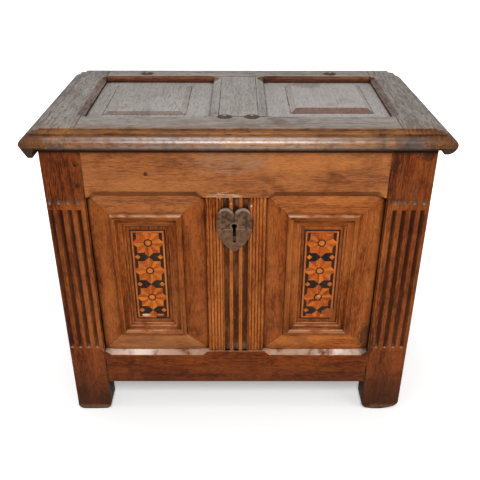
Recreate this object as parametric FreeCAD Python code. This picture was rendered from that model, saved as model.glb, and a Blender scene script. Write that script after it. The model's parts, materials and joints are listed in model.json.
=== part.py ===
import FreeCAD, Part
import math
import os

# An oak coffer chest: a framed and panelled case on four corner posts, with a hinged panelled lid
# and an iron lock.
# Sizes are in millimetres. X runs along the front, Y from front to back and Z up.
# The origin is on the floor, under the middle of the lid.

# Case
case_width = 700.0
case_depth = 371.0
case_height = 612.0
foot_height = 78.0
foot_round = 13.0

# Frame members of the case
left_post_width = 72.0
right_post_width = 80.0
post_thickness = 48.0
rail_thickness = 28.0
top_rail_height = 97.0
bottom_rail_height = 82.0
front_muntin_width = 112.0
front_muntin_offset = -4.5
front_muntin_setback = 3.0
back_muntin_width = 90.0

# Joints of the case
tenon_setback = 9.0
tenon_thickness = 10.0
tenon_shoulder = 12.0
long_tenon_length = 50.0
short_tenon_length = 25.0
muntin_tenon_length = 30.0
muntin_tenon_width = 80.0
joint_gap = 0.2
groove_depth = 9.0
groove_gap = 0.2
tongue_gap = 1.0
mitre_gap = 0.15
panel_setback = 16.0
panel_thickness = 8.0
peg_radius = 4.0
peg_length = 26.0
peg_proud = 0.6
peg_gap = 0.05
peg_inset = 9.5
peg_spread = 41.0
peg_drop = 4.3

# Flutes and punched dots on the front posts
post_flute_count = 4
post_flute_pitch = 17.2
left_flute_edge = 6.4
right_flute_edge = 11.6
post_flute_width = 8.8
post_flute_depth = 3.6
post_flute_top_gap = 25.0
post_flute_bottom_gap = 14.0
post_dot_gap = 9.2
post_dot_radius = 4.5
post_dot_depth = 2.6
post_arris_bevel = 4.0

# Stopped bevels on the front rails, beside the panels
top_bevel_height = 13.0
bottom_bevel_height = 10.5
rail_bevel_depth = 10.0
rail_bevel_margin = 3.0
rail_bevel_stop = 12.0

# Flutes and beads on the front muntin
muntin_flute_count = 3
muntin_flute_pitch = 18.0
muntin_flute_width = 12.2
muntin_flute_depth = 4.5
muntin_bead_count = 5
muntin_bead_width = 6.2
muntin_bead_depth = 2.2

# Front panels: marquetry plaque, sunk margin, mitred moulding and mitred bevel boards
plaque_height_share = 0.725
plaque_raise = 4.5
plaque_shift = -2.3
plaque_setback = 8.0
veneer_thickness = 2.0
border_width = 3.0
string_width = 3.2
ground_margin_side = 6.0
ground_margin_end = 8.5
moulding_width = 27.0
moulding_crest_proud = 4.3
moulding_crest_inset = 7.5
moulding_crest_width = 2.5
moulding_fillet = 2.0
moulding_ledge_width = 5.0
first_ledge_setback = 5.6
second_ledge_setback = 2.2
moulding_edge_setback = 1.0
bevel_inner_setback = 2.5
bevel_outer_setback = 11.0

# Star flowers of the marquetry
star_points = 8
star_width_share = 0.403
star_side_cut = 2.8
star_spacing = 1.0
star_top_cut = 8.0
star_ring_share = 0.27
star_eye_share = 0.18
side_diamond_reach = 5.4
side_diamond_inset = 6.0

# Side and back panels
side_field_margin = 34.0
side_field_height = 6.0
side_field_bevel = 16.0

# Bottom boards
bottom_board_count = 3
bottom_board_thickness = 14.0
bottom_board_rise = 22.0
bottom_board_gap = 0.4
bottom_groove_depth = 8.0
post_notch_gap = 0.5

# Lid
lid_thickness = 32.0
lid_front_overhang = 22.0
lid_side_overhang = 22.0
lid_back_overhang = 12.0
lid_front_rail_width = 96.0
lid_back_rail_width = 50.0
lid_stile_width = 87.0
lid_muntin_width = 106.0
lid_tenon_length = 45.0
lid_tenon_thickness = 10.0
lid_tenon_shoulder = 12.0
lid_muntin_tenon_width = 34.0
lid_panel_thickness = 10.0
lid_panel_sink = 13.0
lid_round_corner = 36.0
lid_cut_corner = 10.0
lid_cut_depth = 4.0
lid_stile_bevel = 9.0
lid_muntin_bevel = 16.0
lid_muntin_bevel_depth = 9.0
lid_rail_bevel = 4.0
lid_bevel_stop = 10.0

# Moulded edge of the lid
edge_first_drop = 3.0
edge_first_width = 13.0
edge_second_drop = 4.0
edge_second_width = 4.8
edge_slope = 0.7
lid_end_flare = 3.0
left_end_lean = 1.2
right_end_lean = 2.0
left_lip_drop = 12.4
right_lip_drop = 5.2
left_lip_foot_width = 9.0
right_lip_foot_width = 1.0
left_lip_bulge = 0.3
right_lip_bulge = 4.4
lip_gap = 1.0
lip_front_rake = 4.0

# Raised fields of the lid panels
lid_field_inner_margin = 46.0
lid_field_outer_margin = 29.0
left_field_front_margin = 43.0
right_field_front_margin = 53.0
lid_field_back_margin = 28.0
left_field_height = 4.0
right_field_height = 8.0
lid_field_bevel = 11.0

# Hinges
hinge_spread = 400.0
hinge_width = 40.0
hinge_leaf_thickness = 3.0
hinge_barrel_radius = 5.5
hinge_pin_radius = 2.5
hinge_pin_gap = 0.05
hinge_clear = 0.4
hinge_lid_leaf_inset = 3.0
hinge_case_leaf_height = 62.0
hinge_nail_spread = 24.0
hinge_nail_row = 17.0

# Rivets and nails
rivet_head_radius = 13.0
rivet_head_height = 3.0
rivet_shank_radius = 3.0
hinge_rivet_inset = 27.0
staple_rivet_spread = 49.0
staple_rivet_inset = 4.0
nail_head_radius = 4.5
nail_head_height = 1.8
nail_shank_radius = 1.6
nail_length = 16.0
tack_head_radius = 2.2
tack_head_height = 1.0
tack_shank_radius = 0.9
tack_length = 12.0
shank_gap = 0.1

# Escutcheon and keyhole
escutcheon_offset = -3.0
escutcheon_thickness = 2.0
escutcheon_half_width = 33.5
escutcheon_height = 93.5
escutcheon_notch = 12.8
escutcheon_widest = 53.5
escutcheon_lobe_height = 13.0
escutcheon_lobe_share = 0.9
escutcheon_tip_below = 55.5
tack_spread = 46.0
tack_drop = 6.0
keyhole_drop = 156.0
keyhole_radius = 5.5
keyhole_slot_width = 5.6
keyhole_slot_length = 35.0
keyhole_wood_gap = 1.0

# Lock
lock_plate_thickness = 2.5
lock_plate_top_gap = 8.0
lock_plate_low_half_width = 46.0
lock_plate_below_keyhole = 58.0
lock_plate_edge = 8.0
bolt_drop = 29.0
bolt_height = 12.0
bolt_thickness = 8.0
bolt_standoff = 11.5
bolt_travel = 22.0
bolt_clear = 0.3
bolt_tip_gap = 4.0
bolt_tail_width = 6.0
bolt_tail_thickness = 4.0
bolt_foot_rise = 14.0
bolt_foot_height = 10.0
bolt_foot_short = 6.0
talon_width = 8.0
talon_depth = 4.0
guide_length = 8.0
guide_wall = 3.5
guide_gap = 1.0
tail_gap = 0.5
spring_anchor_size = 8.0
spring_rise = 7.0
spring_reach = 16.0
spring_thickness = 1.2
cover_half_width = 30.0
cover_depth = 22.0
cover_wall = 2.0
cover_rise = 10.0
cover_fall = 38.0
key_pin_radius = 2.2
key_pin_front_setback = 10.0

# Staple on the lid
staple_plate_half_width = 38.0
staple_plate_thickness = 3.0
staple_plate_tail = 12.0
staple_leg = 4.0
staple_width = 8.0
staple_front_gap = 4.0
staple_eye = 14.5
staple_bottom_gap = 5.0

# Places worked out from the sizes above
lid_width = case_width + 2 * lid_side_overhang
lid_depth = case_depth + lid_front_overhang + lid_back_overhang
lid_front_y = -lid_depth / 2
lid_back_y = lid_depth / 2
front_y = lid_front_y + lid_front_overhang
back_y = lid_back_y - lid_back_overhang
middle_y = (front_y + back_y) / 2
lid_bottom = case_height
lid_top = case_height + lid_thickness
opening_z = (foot_height + bottom_rail_height, case_height - top_rail_height)
top_rail_z = (opening_z[1], case_height)
bottom_rail_z = (foot_height, opening_z[0])
front_span = (-case_width / 2 + left_post_width, case_width / 2 - right_post_width)
back_span = (-front_span[1], -front_span[0])
side_span = (-case_depth / 2 + post_thickness, case_depth / 2 - post_thickness)
front_openings = [
    (front_span[0], front_muntin_offset - front_muntin_width / 2),
    (front_muntin_offset + front_muntin_width / 2, front_span[1]),
]
back_openings = [
    (back_span[0], -back_muntin_width / 2),
    (back_muntin_width / 2, back_span[1]),
]
side_openings = [side_span]

# The stars and the plaque take a share of the panel inside the moulding and the sunk margin.
# The bevel boards take the rest.
panel_width = (front_span[1] - front_span[0] - front_muntin_width) / 2
panel_height = opening_z[1] - opening_z[0]
star_width = star_width_share * (panel_width - 2 * moulding_width - 2 * ground_margin_side)
plaque_width = star_width + 2 * (border_width + string_width - star_side_cut)
plaque_height = plaque_height_share * (panel_height - 2 * moulding_width - 2 * ground_margin_end)

# A star is two polygons laid over each other, and its notches lie where their sides cross.
star_tip_radius = star_width / 2
star_notch_radius = star_tip_radius * math.cos(2 * math.pi / star_points) / math.cos(math.pi / star_points)
star_ring_radius = star_ring_share * star_tip_radius
star_eye_radius = star_eye_share * star_tip_radius
star_pitch = star_width + star_spacing
star_first_drop = star_tip_radius - star_top_cut

edge_nose_radius = (lid_thickness - edge_first_drop - edge_second_drop - 2 * edge_slope) / 2
edge_nose_slant = edge_nose_radius * math.sin(math.pi / 4)
edge_nose_x = edge_first_width + edge_second_width
edge_width = edge_nose_x + edge_nose_radius
keyhole_x = front_muntin_offset + escutcheon_offset
keyhole_z = case_height - keyhole_drop
bolt_z = (case_height - bolt_drop - bolt_height / 2, case_height - bolt_drop + bolt_height / 2)
hinge_axis_y = back_y + hinge_barrel_radius + hinge_clear
hinge_axis_z = lid_bottom + hinge_leaf_thickness - hinge_barrel_radius

# Each wall has its span between posts, the length of its tenons and its panel openings.
# A wall is drawn with X along it, Y inwards from its outer face, then turned and moved into place.
walls = {
    "front": (front_span, long_tenon_length, front_openings, 0, (0, front_y)),
    "right": (side_span, short_tenon_length, side_openings, 90, (case_width / 2, middle_y)),
    "back": (back_span, long_tenon_length, back_openings, 180, (0, back_y)),
    "left": (side_span, short_tenon_length, side_openings, -90, (-case_width / 2, middle_y)),
}


# Drawing helpers

def vec(x, y, z):
    return FreeCAD.Vector(x, y, z)


def block(x, y, z):
    """Box between pairs of limits."""
    return Part.makeBox(x[1] - x[0], y[1] - y[0], z[1] - z[0], vec(x[0], y[0], z[0]))


def about(centre, width):
    return (centre - width / 2, centre + width / 2)


def grown(limits, gap):
    return (limits[0] - gap, limits[1] + gap)


def outline_face(outline, place):
    """Flat face round an outline of points. A pair of points is an arc through the first to the second."""
    first = place(*outline[0])
    here = first
    edges = []
    for step in outline[1:] + [outline[0]]:
        if isinstance(step[0], tuple):
            through = place(*step[0])
            end = place(*step[1])
            edges.append(Part.Arc(here, through, end).toShape())
        else:
            end = place(*step)
            if end.distanceToPoint(here) > 0:
                edges.append(Part.LineSegment(here, end).toShape())
        here = end
    return Part.Face(Part.Wire(edges))


def bar(outline, axis, limits):
    """Solid with the outline as its section, run along an axis between two limits."""
    start, end = limits
    if axis == "x":
        return outline_face(outline, lambda a, b: vec(start, a, b)).extrude(vec(end - start, 0, 0))
    if axis == "y":
        return outline_face(outline, lambda a, b: vec(a, start, b)).extrude(vec(0, end - start, 0))
    return outline_face(outline, lambda a, b: vec(a, b, start)).extrude(vec(0, 0, end - start))


def rod(radius, start, end):
    return Part.makeCylinder(radius, start.distanceToPoint(end), start, end - start)


def flat_sided(faces):
    """Solid closed by flat faces, each a list of corners."""
    shell = Part.makeShell([Part.Face(Part.makePolygon(corners + corners[:1])) for corners in faces])
    solid = Part.makeSolid(shell)
    if solid.Volume < 0:
        solid.reverse()
    return solid


def stopped_bevel(start, end, across, down, stop):
    """Wedge that takes the edge off from start to end and runs out to nothing over the stop at each end."""
    step = (end - start).multiply(stop / start.distanceToPoint(end))
    near = start + step
    far = end - step
    return flat_sided([
        [start, end, far + across, near + across],
        [start, near + down, far + down, end],
        [near + across, far + across, far + down, near + down],
        [start, near + across, near + down],
        [end, far + down, far + across],
    ])


def raised_field(x, y, base, top, inset):
    """Sloped block on a rectangle, for a fielded panel that faces up."""
    x_top = grown(x, -inset)
    y_top = grown(y, -inset)
    low = [vec(x[0], y[0], base), vec(x[1], y[0], base), vec(x[1], y[1], base), vec(x[0], y[1], base)]
    high = [
        vec(x_top[0], y_top[0], top), vec(x_top[1], y_top[0], top),
        vec(x_top[1], y_top[1], top), vec(x_top[0], y_top[1], top),
    ]
    sides = []
    for corner in range(4):
        after = (corner + 1) % 4
        sides.append([low[corner], low[after], high[after], high[corner]])
    return flat_sided([low, high] + sides)


def domed_pin(head_radius, head_height, shank_radius, shank_length, place, direction):
    """Nail or rivet: a domed head that stands on its seat at place and points along direction."""
    dome_radius = (head_radius ** 2 + head_height ** 2) / (2 * head_height)
    half_angle = math.asin(head_radius / dome_radius) / 2
    through = (dome_radius * math.sin(half_angle), head_height - dome_radius * (1 - math.cos(half_angle)))
    profile = [
        (0, -shank_length), (shank_radius, -shank_length), (shank_radius, 0), (head_radius, 0),
        (through, (0, head_height)),
    ]
    face = outline_face(profile, lambda radius, height: vec(radius, 0, height))
    pin = face.revolve(vec(0, 0, 0), vec(0, 0, 1), 360)
    pin.Placement = FreeCAD.Placement(place, FreeCAD.Rotation(vec(0, 0, 1), direction))
    return pin


def shank_hole(shank_radius, shank_length, place, direction):
    return rod(shank_radius + shank_gap, place, place - direction * shank_length)


def stand(shape, wall):
    """Turns a shape drawn on a wall and moves it to that wall's place."""
    turn, place = walls[wall][3:]
    placed = shape.copy()
    placed.rotate(vec(0, 0, 0), vec(0, 0, 1), turn)
    placed.translate(vec(place[0], place[1], 0))
    return placed


def clean(shape):
    return shape.removeSplitter()


# Joints of the case, drawn on a wall

def rail_tenons(wall, rail_z, gap=0.0, end_gap=0.0):
    """Tenons at both ends of a rail. With gaps they are the mortises that take them."""
    span, reach = walls[wall][:2]
    y = grown((tenon_setback, tenon_setback + tenon_thickness), gap)
    z = grown((rail_z[0] + tenon_shoulder, rail_z[1] - tenon_shoulder), gap)
    return [
        block((span[0] - reach - end_gap, span[0]), y, z),
        block((span[1], span[1] + reach + end_gap), y, z),
    ]


def muntin_tenons(middle, gap=0.0, end_gap=0.0):
    x = grown(about(middle, muntin_tenon_width), gap)
    y = grown((tenon_setback, tenon_setback + tenon_thickness), gap)
    return [
        block(x, y, (opening_z[0] - muntin_tenon_length - end_gap, opening_z[0])),
        block(x, y, (opening_z[1], opening_z[1] + muntin_tenon_length + end_gap)),
    ]


def panel_slab(opening, reach, gap=0.0):
    """Board that fills an opening and reaches into the grooves round it."""
    y = grown((panel_setback, panel_setback + panel_thickness), gap)
    return block(grown(opening, reach), y, grown(opening_z, reach))


def panel_board(opening):
    return panel_slab(opening, groove_depth - tongue_gap)


def panel_grooves(wall):
    return [panel_slab(opening, groove_depth, groove_gap) for opening in walls[wall][2]]


def wall_pegs(wall, gap=0.0):
    """Pegs through both tenons of the top rail."""
    span = walls[wall][0]
    middle = (top_rail_z[0] + top_rail_z[1]) / 2 - peg_drop
    pegs = []
    for x in grown(span, peg_inset):
        for z in about(middle, peg_spread):
            pegs.append(rod(peg_radius + gap, vec(x, -peg_proud, z), vec(x, peg_length, z)))
    return pegs


def bottom_groove(wall):
    """Groove along the inside of a bottom rail for the edges of the bottom boards."""
    y = (rail_thickness - bottom_groove_depth, rail_thickness)
    return block(walls[wall][0], y, grown(bottom_board_z, groove_gap))


def plain_rail(wall, rail_z):
    rail = block(walls[wall][0], (0, rail_thickness), rail_z).fuse(rail_tenons(wall, rail_z))
    return clean(rail).cut(panel_grooves(wall))


def top_rail(wall):
    return plain_rail(wall, top_rail_z).cut(wall_pegs(wall, peg_gap))


def bottom_rail(wall):
    return plain_rail(wall, bottom_rail_z).cut(bottom_groove(wall))


bottom_board_z = (foot_height + bottom_board_rise, foot_height + bottom_board_rise + bottom_board_thickness)


# Corner posts

def post_cutters():
    """Mortises, panel grooves and peg holes of all four walls, and the hinge nails' holes, in place."""
    cutters = hinge_nail_holes()
    for wall in walls:
        drawn = rail_tenons(wall, top_rail_z, joint_gap, tongue_gap)
        drawn += rail_tenons(wall, bottom_rail_z, joint_gap, tongue_gap)
        drawn += panel_grooves(wall)
        drawn += wall_pegs(wall, peg_gap)
        cutters += [stand(cutter, wall) for cutter in drawn]
    return cutters


def post_x(x_side):
    return (-case_width / 2, front_span[0]) if x_side < 0 else (front_span[1], case_width / 2)


def post_y(y_side):
    return (front_y, front_y + post_thickness) if y_side < 0 else (back_y - post_thickness, back_y)


def plain_post(x_side, y_side):
    """Corner post, its foot worn round at both sides."""
    body = block(post_x(x_side), post_y(y_side), (0, case_height))
    foot_edges = [
        edge for edge in body.Edges
        if edge.BoundBox.ZMax < foot_round and edge.BoundBox.YLength > edge.BoundBox.XLength
    ]
    return body.makeFillet(foot_round, foot_edges).cut(post_cutters())


def gouge_radius(width, depth):
    return (width ** 2 / 4 + depth ** 2) / (2 * depth)


def post_carving(x_side):
    """Gouged flutes, each with a punched dot above it, and the bevel beside the panel."""
    radius = gouge_radius(post_flute_width, post_flute_depth)
    axis_y = front_y + post_flute_depth - radius
    dot_radius = gouge_radius(2 * post_dot_radius, post_dot_depth)
    dot_y = front_y + post_dot_depth - dot_radius
    low_z = opening_z[0] + post_flute_bottom_gap
    edge = left_flute_edge if x_side < 0 else right_flute_edge
    cutters = []
    for number in range(post_flute_count):
        x = x_side * (case_width / 2 - edge - number * post_flute_pitch)
        low = vec(x, axis_y, low_z)
        cutters.append(rod(radius, low, vec(x, axis_y, opening_z[1] - post_flute_top_gap)))
        cutters.append(Part.makeSphere(radius, low))
        cutters.append(Part.makeSphere(dot_radius, vec(x, dot_y, opening_z[1] - post_dot_gap)))
    inner_x = front_span[0] if x_side < 0 else front_span[1]
    cutters.append(stopped_bevel(
        vec(inner_x, front_y, opening_z[0]), vec(inner_x, front_y, opening_z[1]),
        vec(x_side * post_arris_bevel, 0, 0), vec(0, post_arris_bevel, 0), post_arris_bevel,
    ))
    return cutters


# Front rails and muntin, drawn on the front wall

def front_top_rail():
    rail = top_rail("front").cut(muntin_tenons(front_muntin_offset, joint_gap, tongue_gap))
    for opening in front_openings:
        edge = grown(opening, -rail_bevel_margin)
        rail = rail.cut(stopped_bevel(
            vec(edge[0], 0, opening_z[1]), vec(edge[1], 0, opening_z[1]),
            vec(0, rail_bevel_depth, 0), vec(0, 0, top_bevel_height), rail_bevel_stop,
        ))
    return rail.cut(lock_nail_holes())


def front_bottom_rail():
    rail = bottom_rail("front").cut(muntin_tenons(front_muntin_offset, joint_gap, tongue_gap))
    for opening in front_openings:
        edge = grown(opening, -rail_bevel_margin)
        rail = rail.cut(stopped_bevel(
            vec(edge[0], 0, opening_z[0]), vec(edge[1], 0, opening_z[0]),
            vec(0, rail_bevel_depth, 0), vec(0, 0, -bottom_bevel_height), rail_bevel_stop,
        ))
    return rail


def front_muntin_outline():
    """Section of the muntin: beads along both edges and flutes down the middle."""
    half = front_muntin_width / 2
    face = front_muntin_setback
    bead_end = muntin_bead_count * muntin_bead_width
    outline = [(-half, rail_thickness), (-half, face + muntin_bead_depth)]
    for number in range(muntin_bead_count):
        left = -half + number * muntin_bead_width
        crown = (left + muntin_bead_width / 2, face)
        outline.append((crown, (left + muntin_bead_width, face + muntin_bead_depth)))
    outline.append((-half + bead_end, face))
    for number in range(muntin_flute_count):
        centre = (number - (muntin_flute_count - 1) / 2) * muntin_flute_pitch
        outline.append((centre - muntin_flute_width / 2, face))
        outline.append(((centre, face + muntin_flute_depth), (centre + muntin_flute_width / 2, face)))
    outline.append((half - bead_end, face))
    outline.append((half - bead_end, face + muntin_bead_depth))
    for number in range(muntin_bead_count):
        left = half - bead_end + number * muntin_bead_width
        crown = (left + muntin_bead_width / 2, face)
        outline.append((crown, (left + muntin_bead_width, face + muntin_bead_depth)))
    outline.append((half, rail_thickness))
    return turned(outline, lambda x, y: (x + front_muntin_offset, y))


def front_muntin():
    muntin = bar(front_muntin_outline(), "z", opening_z).fuse(muntin_tenons(front_muntin_offset))
    muntin = clean(muntin).cut(panel_grooves("front"))
    muntin = muntin.cut(keyhole((0, rail_thickness), keyhole_wood_gap))
    return muntin.cut(lock_nail_holes() + tack_holes())


def back_muntin():
    muntin = block(about(0, back_muntin_width), (0, rail_thickness), opening_z).fuse(muntin_tenons(0))
    return clean(muntin).cut(panel_grooves("back"))


# Front panels, drawn on the front wall

def plaque_rect(opening):
    """Limits of the marquetry plaque in X and Z."""
    middle_x = (opening[0] + opening[1]) / 2 + plaque_shift
    middle_z = (opening_z[0] + opening_z[1]) / 2 + plaque_raise
    return about(middle_x, plaque_width), about(middle_z, plaque_height)


def wider(rect, side, end):
    return grown(rect[0], side), grown(rect[1], end)


def ground_rect(opening):
    return wider(plaque_rect(opening), ground_margin_side, ground_margin_end)


def moulding_rect(opening):
    return wider(ground_rect(opening), moulding_width, moulding_width)


def upright_mitre(near_x, far_x, inner_z, outer_z):
    near_z = grown(inner_z, -mitre_gap)
    far_z = grown(outer_z, -mitre_gap)
    return [(near_x, near_z[0]), (near_x, near_z[1]), (far_x, far_z[1]), (far_x, far_z[0])]


def mitred_frame(inner, outer, section):
    """Four sticks between two rectangles, mitred at the corners.

    The section of a stick of a given width is an outline of points, outwards from the inner rectangle and
    inwards from the face of the wall. The upright sticks stop short of the others by the mitre gap.
    """
    (left, right), (low, high) = inner
    (far_left, far_right), (far_low, far_high) = outer
    depth = (-rail_thickness, rail_thickness)
    sticks = [
        ("z", left - far_left, lambda u, y: (left - u, y), (far_low, far_high),
         upright_mitre(left, far_left, inner[1], outer[1])),
        ("z", far_right - right, lambda u, y: (right + u, y), (far_low, far_high),
         upright_mitre(right, far_right, inner[1], outer[1])),
        ("x", low - far_low, lambda u, y: (y, low - u), (far_left, far_right),
         [(left, low), (right, low), (far_right, far_low), (far_left, far_low)]),
        ("x", far_high - high, lambda u, y: (y, high + u), (far_left, far_right),
         [(left, high), (right, high), (far_right, far_high), (far_left, far_high)]),
    ]
    pieces = []
    for axis, width, turn, limits, mitre in sticks:
        stick = bar(turned(section(width), turn), axis, limits)
        pieces.append(stick.common(bar(mitre, "y", depth)))
    return Part.makeCompound(pieces)


def turned(outline, turn):
    """Outline with every point passed through turn."""
    points = []
    for step in outline:
        if isinstance(step[0], tuple):
            points.append((turn(*step[0]), turn(*step[1])))
        else:
            points.append(turn(*step))
    return points


def moulding_section(width):
    crest_end = width - moulding_crest_inset
    crest_start = crest_end - moulding_crest_width
    hollow_start = 2 * moulding_ledge_width
    hollow_top = -moulding_crest_proud + moulding_fillet
    hollow_through = (
        hollow_start + (crest_start - hollow_start) * math.sin(math.pi / 4),
        hollow_top + (second_ledge_setback - hollow_top) * math.sin(math.pi / 4),
    )
    round_through = (
        crest_end + moulding_crest_inset * math.sin(math.pi / 4),
        moulding_edge_setback - (moulding_edge_setback + moulding_crest_proud) * math.sin(math.pi / 4),
    )
    return [
        (0, panel_setback),
        (0, first_ledge_setback),
        (moulding_ledge_width, first_ledge_setback),
        (moulding_ledge_width, second_ledge_setback),
        (hollow_start, second_ledge_setback),
        (hollow_through, (crest_start, hollow_top)),
        (crest_start, -moulding_crest_proud),
        (crest_end, -moulding_crest_proud),
        (round_through, (width, moulding_edge_setback)),
        (width, panel_setback),
    ]


def bevel_section(width):
    return [
        (0, panel_setback), (0, bevel_inner_setback), (width, bevel_outer_setback), (width, panel_setback),
    ]


def veneer_section(width):
    return [
        (0, plaque_setback), (0, plaque_setback + veneer_thickness),
        (width, plaque_setback + veneer_thickness), (width, plaque_setback),
    ]


def front_panel(opening):
    """Panel board with a raised middle that the plaque is let into."""
    ground_x, ground_z = ground_rect(opening)
    plaque_x, plaque_z = plaque_rect(opening)
    middle = block(ground_x, (plaque_setback, panel_setback), ground_z)
    pocket = block(plaque_x, (plaque_setback, plaque_setback + veneer_thickness), plaque_z)
    return clean(panel_board(opening).fuse(middle)).cut(pocket)


def bevel_boards(opening):
    return mitred_frame(moulding_rect(opening), (opening, opening_z), bevel_section)


def panel_moulding(opening):
    return mitred_frame(ground_rect(opening), moulding_rect(opening), moulding_section)


# Marquetry, drawn on the front wall

veneer_y = (plaque_setback, plaque_setback + veneer_thickness)


def string_rect(opening):
    return wider(plaque_rect(opening), -border_width, -border_width)


def field_rect(opening):
    return wider(string_rect(opening), -string_width, -string_width)


def star_corner(centre, radius, half_steps):
    angle = math.pi * half_steps / star_points
    return (centre[0] + radius * math.cos(angle), centre[1] + radius * math.sin(angle))


def star_outline(centre):
    outline = []
    for point in range(star_points):
        outline.append(star_corner(centre, star_tip_radius, 2 * point))
        outline.append(star_corner(centre, star_notch_radius, 2 * point + 1))
    return outline


def star_centres(opening):
    field_x, field_z = field_rect(opening)
    middle = (field_x[0] + field_x[1]) / 2
    centres = []
    z = field_z[1] - star_first_drop
    while z + star_tip_radius > field_z[0]:
        centres.append((middle, z))
        z -= star_pitch
    return centres


def round_veneer(centre, radius):
    return rod(radius, vec(centre[0], veneer_y[0], centre[1]), vec(centre[0], veneer_y[1], centre[1]))


def side_diamonds(opening):
    """Small light squares, set cornerwise between the stars along both sides."""
    field_x = field_rect(opening)[0]
    diamonds = []
    for centre in star_centres(opening)[:-1]:
        z = centre[1] - star_pitch / 2
        for x in grown(field_x, -side_diamond_inset):
            diamonds.append(bar([
                (x - side_diamond_reach, z), (x, z - side_diamond_reach),
                (x + side_diamond_reach, z), (x, z + side_diamond_reach),
            ], "y", veneer_y))
    return diamonds


def inside_field(pieces, opening):
    """What of each piece lies inside the field, as separate solids."""
    field_x, field_z = field_rect(opening)
    field = block(field_x, veneer_y, field_z)
    solids = []
    for piece in pieces:
        solids += piece.common(field).Solids
    return solids


def petals(opening, half):
    """One half of every petal: half is 1 for the lit halves and -1 for the shaded halves."""
    pieces = []
    for centre in star_centres(opening):
        heart = round_veneer(centre, star_ring_radius)
        for point in range(star_points):
            corners = [
                centre,
                star_corner(centre, star_tip_radius, 2 * point),
                star_corner(centre, star_notch_radius, 2 * point + half),
            ]
            pieces.append(bar(corners, "y", veneer_y).cut(heart))
    return pieces


def lit_veneers(opening):
    eyes = [round_veneer(centre, star_eye_radius) for centre in star_centres(opening)]
    return Part.makeCompound(inside_field(petals(opening, 1) + eyes + side_diamonds(opening), opening))


def shaded_veneers(opening):
    return Part.makeCompound(inside_field(petals(opening, -1), opening))


def dark_ground(opening):
    """Dark veneer between the stars, with the ring round each star's eye."""
    field_x, field_z = field_rect(opening)
    stars = [bar(star_outline(centre), "y", veneer_y) for centre in star_centres(opening)]
    ground = block(field_x, veneer_y, field_z).cut(stars + side_diamonds(opening))
    rings = []
    for centre in star_centres(opening):
        rings.append(round_veneer(centre, star_ring_radius).cut(round_veneer(centre, star_eye_radius)))
    return Part.makeCompound(ground.Solids + inside_field(rings, opening))


def border(opening):
    return mitred_frame(string_rect(opening), plaque_rect(opening), veneer_section)


def string(opening):
    return mitred_frame(field_rect(opening), string_rect(opening), veneer_section)


# Side and back panels, bottom boards

def side_panel():
    """Fielded panel: its field is drawn facing up and turned to face outwards."""
    opening = side_openings[0]
    board = panel_board(opening)
    x = grown(opening, -side_field_margin)
    z = grown(opening_z, -side_field_margin)
    field = raised_field(x, z, 0, side_field_height, side_field_bevel)
    field.rotate(vec(0, 0, 0), vec(1, 0, 0), 90)
    field.translate(vec(0, panel_setback, 0))
    return clean(board.fuse(field))


def bottom_boards():
    """Boards from end to end, with edges in the grooves of the bottom rails and notches round the posts."""
    reach = bottom_groove_depth - tongue_gap
    x = about(0, case_width - 2 * rail_thickness + 2 * reach)
    y = (front_y + rail_thickness - reach, back_y - rail_thickness + reach)
    pitch = (y[1] - y[0] + bottom_board_gap) / bottom_board_count
    posts = []
    for x_side in (-1, 1):
        for y_side in (-1, 1):
            posts.append(block(
                grown(post_x(x_side), post_notch_gap), grown(post_y(y_side), post_notch_gap),
                grown(bottom_board_z, post_notch_gap),
            ))
    boards = []
    for number in range(bottom_board_count):
        near = y[0] + number * pitch
        board = block(x, (near, near + pitch - bottom_board_gap), bottom_board_z)
        boards.append(board.cut(posts))
    return Part.makeCompound(boards)


# Keyhole and escutcheon, drawn on the front wall

def keyhole(y, gap=0.0):
    """Round hole with a slot below it."""
    radius = keyhole_radius + gap
    half = keyhole_slot_width / 2 + gap
    meeting = keyhole_z - math.sqrt(radius ** 2 - half ** 2)
    low = keyhole_z - keyhole_slot_length - gap
    x = keyhole_x
    outline = [
        (x - half, low), (x + half, low), (x + half, meeting),
        ((x, keyhole_z + radius), (x - half, meeting)),
    ]
    return bar(outline, "y", y)


def escutcheon_y():
    return (front_muntin_setback - escutcheon_thickness, front_muntin_setback)


def tack_places():
    z = keyhole_z - tack_drop
    return [vec(x, escutcheon_y()[0], z) for x in about(keyhole_x, tack_spread)]


def tack_holes():
    return [shank_hole(tack_shank_radius, tack_length, place, vec(0, -1, 0)) for place in tack_places()]


def escutcheon():
    """Heart-shaped plate."""
    x = keyhole_x
    tip = keyhole_z - escutcheon_tip_below
    widest = tip + escutcheon_widest
    top = tip + escutcheon_height
    lobe = top - escutcheon_lobe_height
    notch = top - escutcheon_notch
    wide = escutcheon_half_width
    lobe_wide = wide * escutcheon_lobe_share
    outline = [
        (x, tip),
        ((x + wide, widest), (x + lobe_wide, lobe)),
        ((x + lobe_wide / 2, top), (x, notch)),
        ((x - lobe_wide / 2, top), (x - lobe_wide, lobe)),
        ((x - wide, widest), (x, tip)),
    ]
    plate = bar(outline, "y", escutcheon_y())
    return plate.cut([keyhole(escutcheon_y())] + tack_holes())


def escutcheon_tacks():
    return Part.makeCompound([
        domed_pin(tack_head_radius, tack_head_height, tack_shank_radius, tack_length, place, vec(0, -1, 0))
        for place in tack_places()
    ])


# Lock, drawn on the front wall with the bolt drawn back

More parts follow.
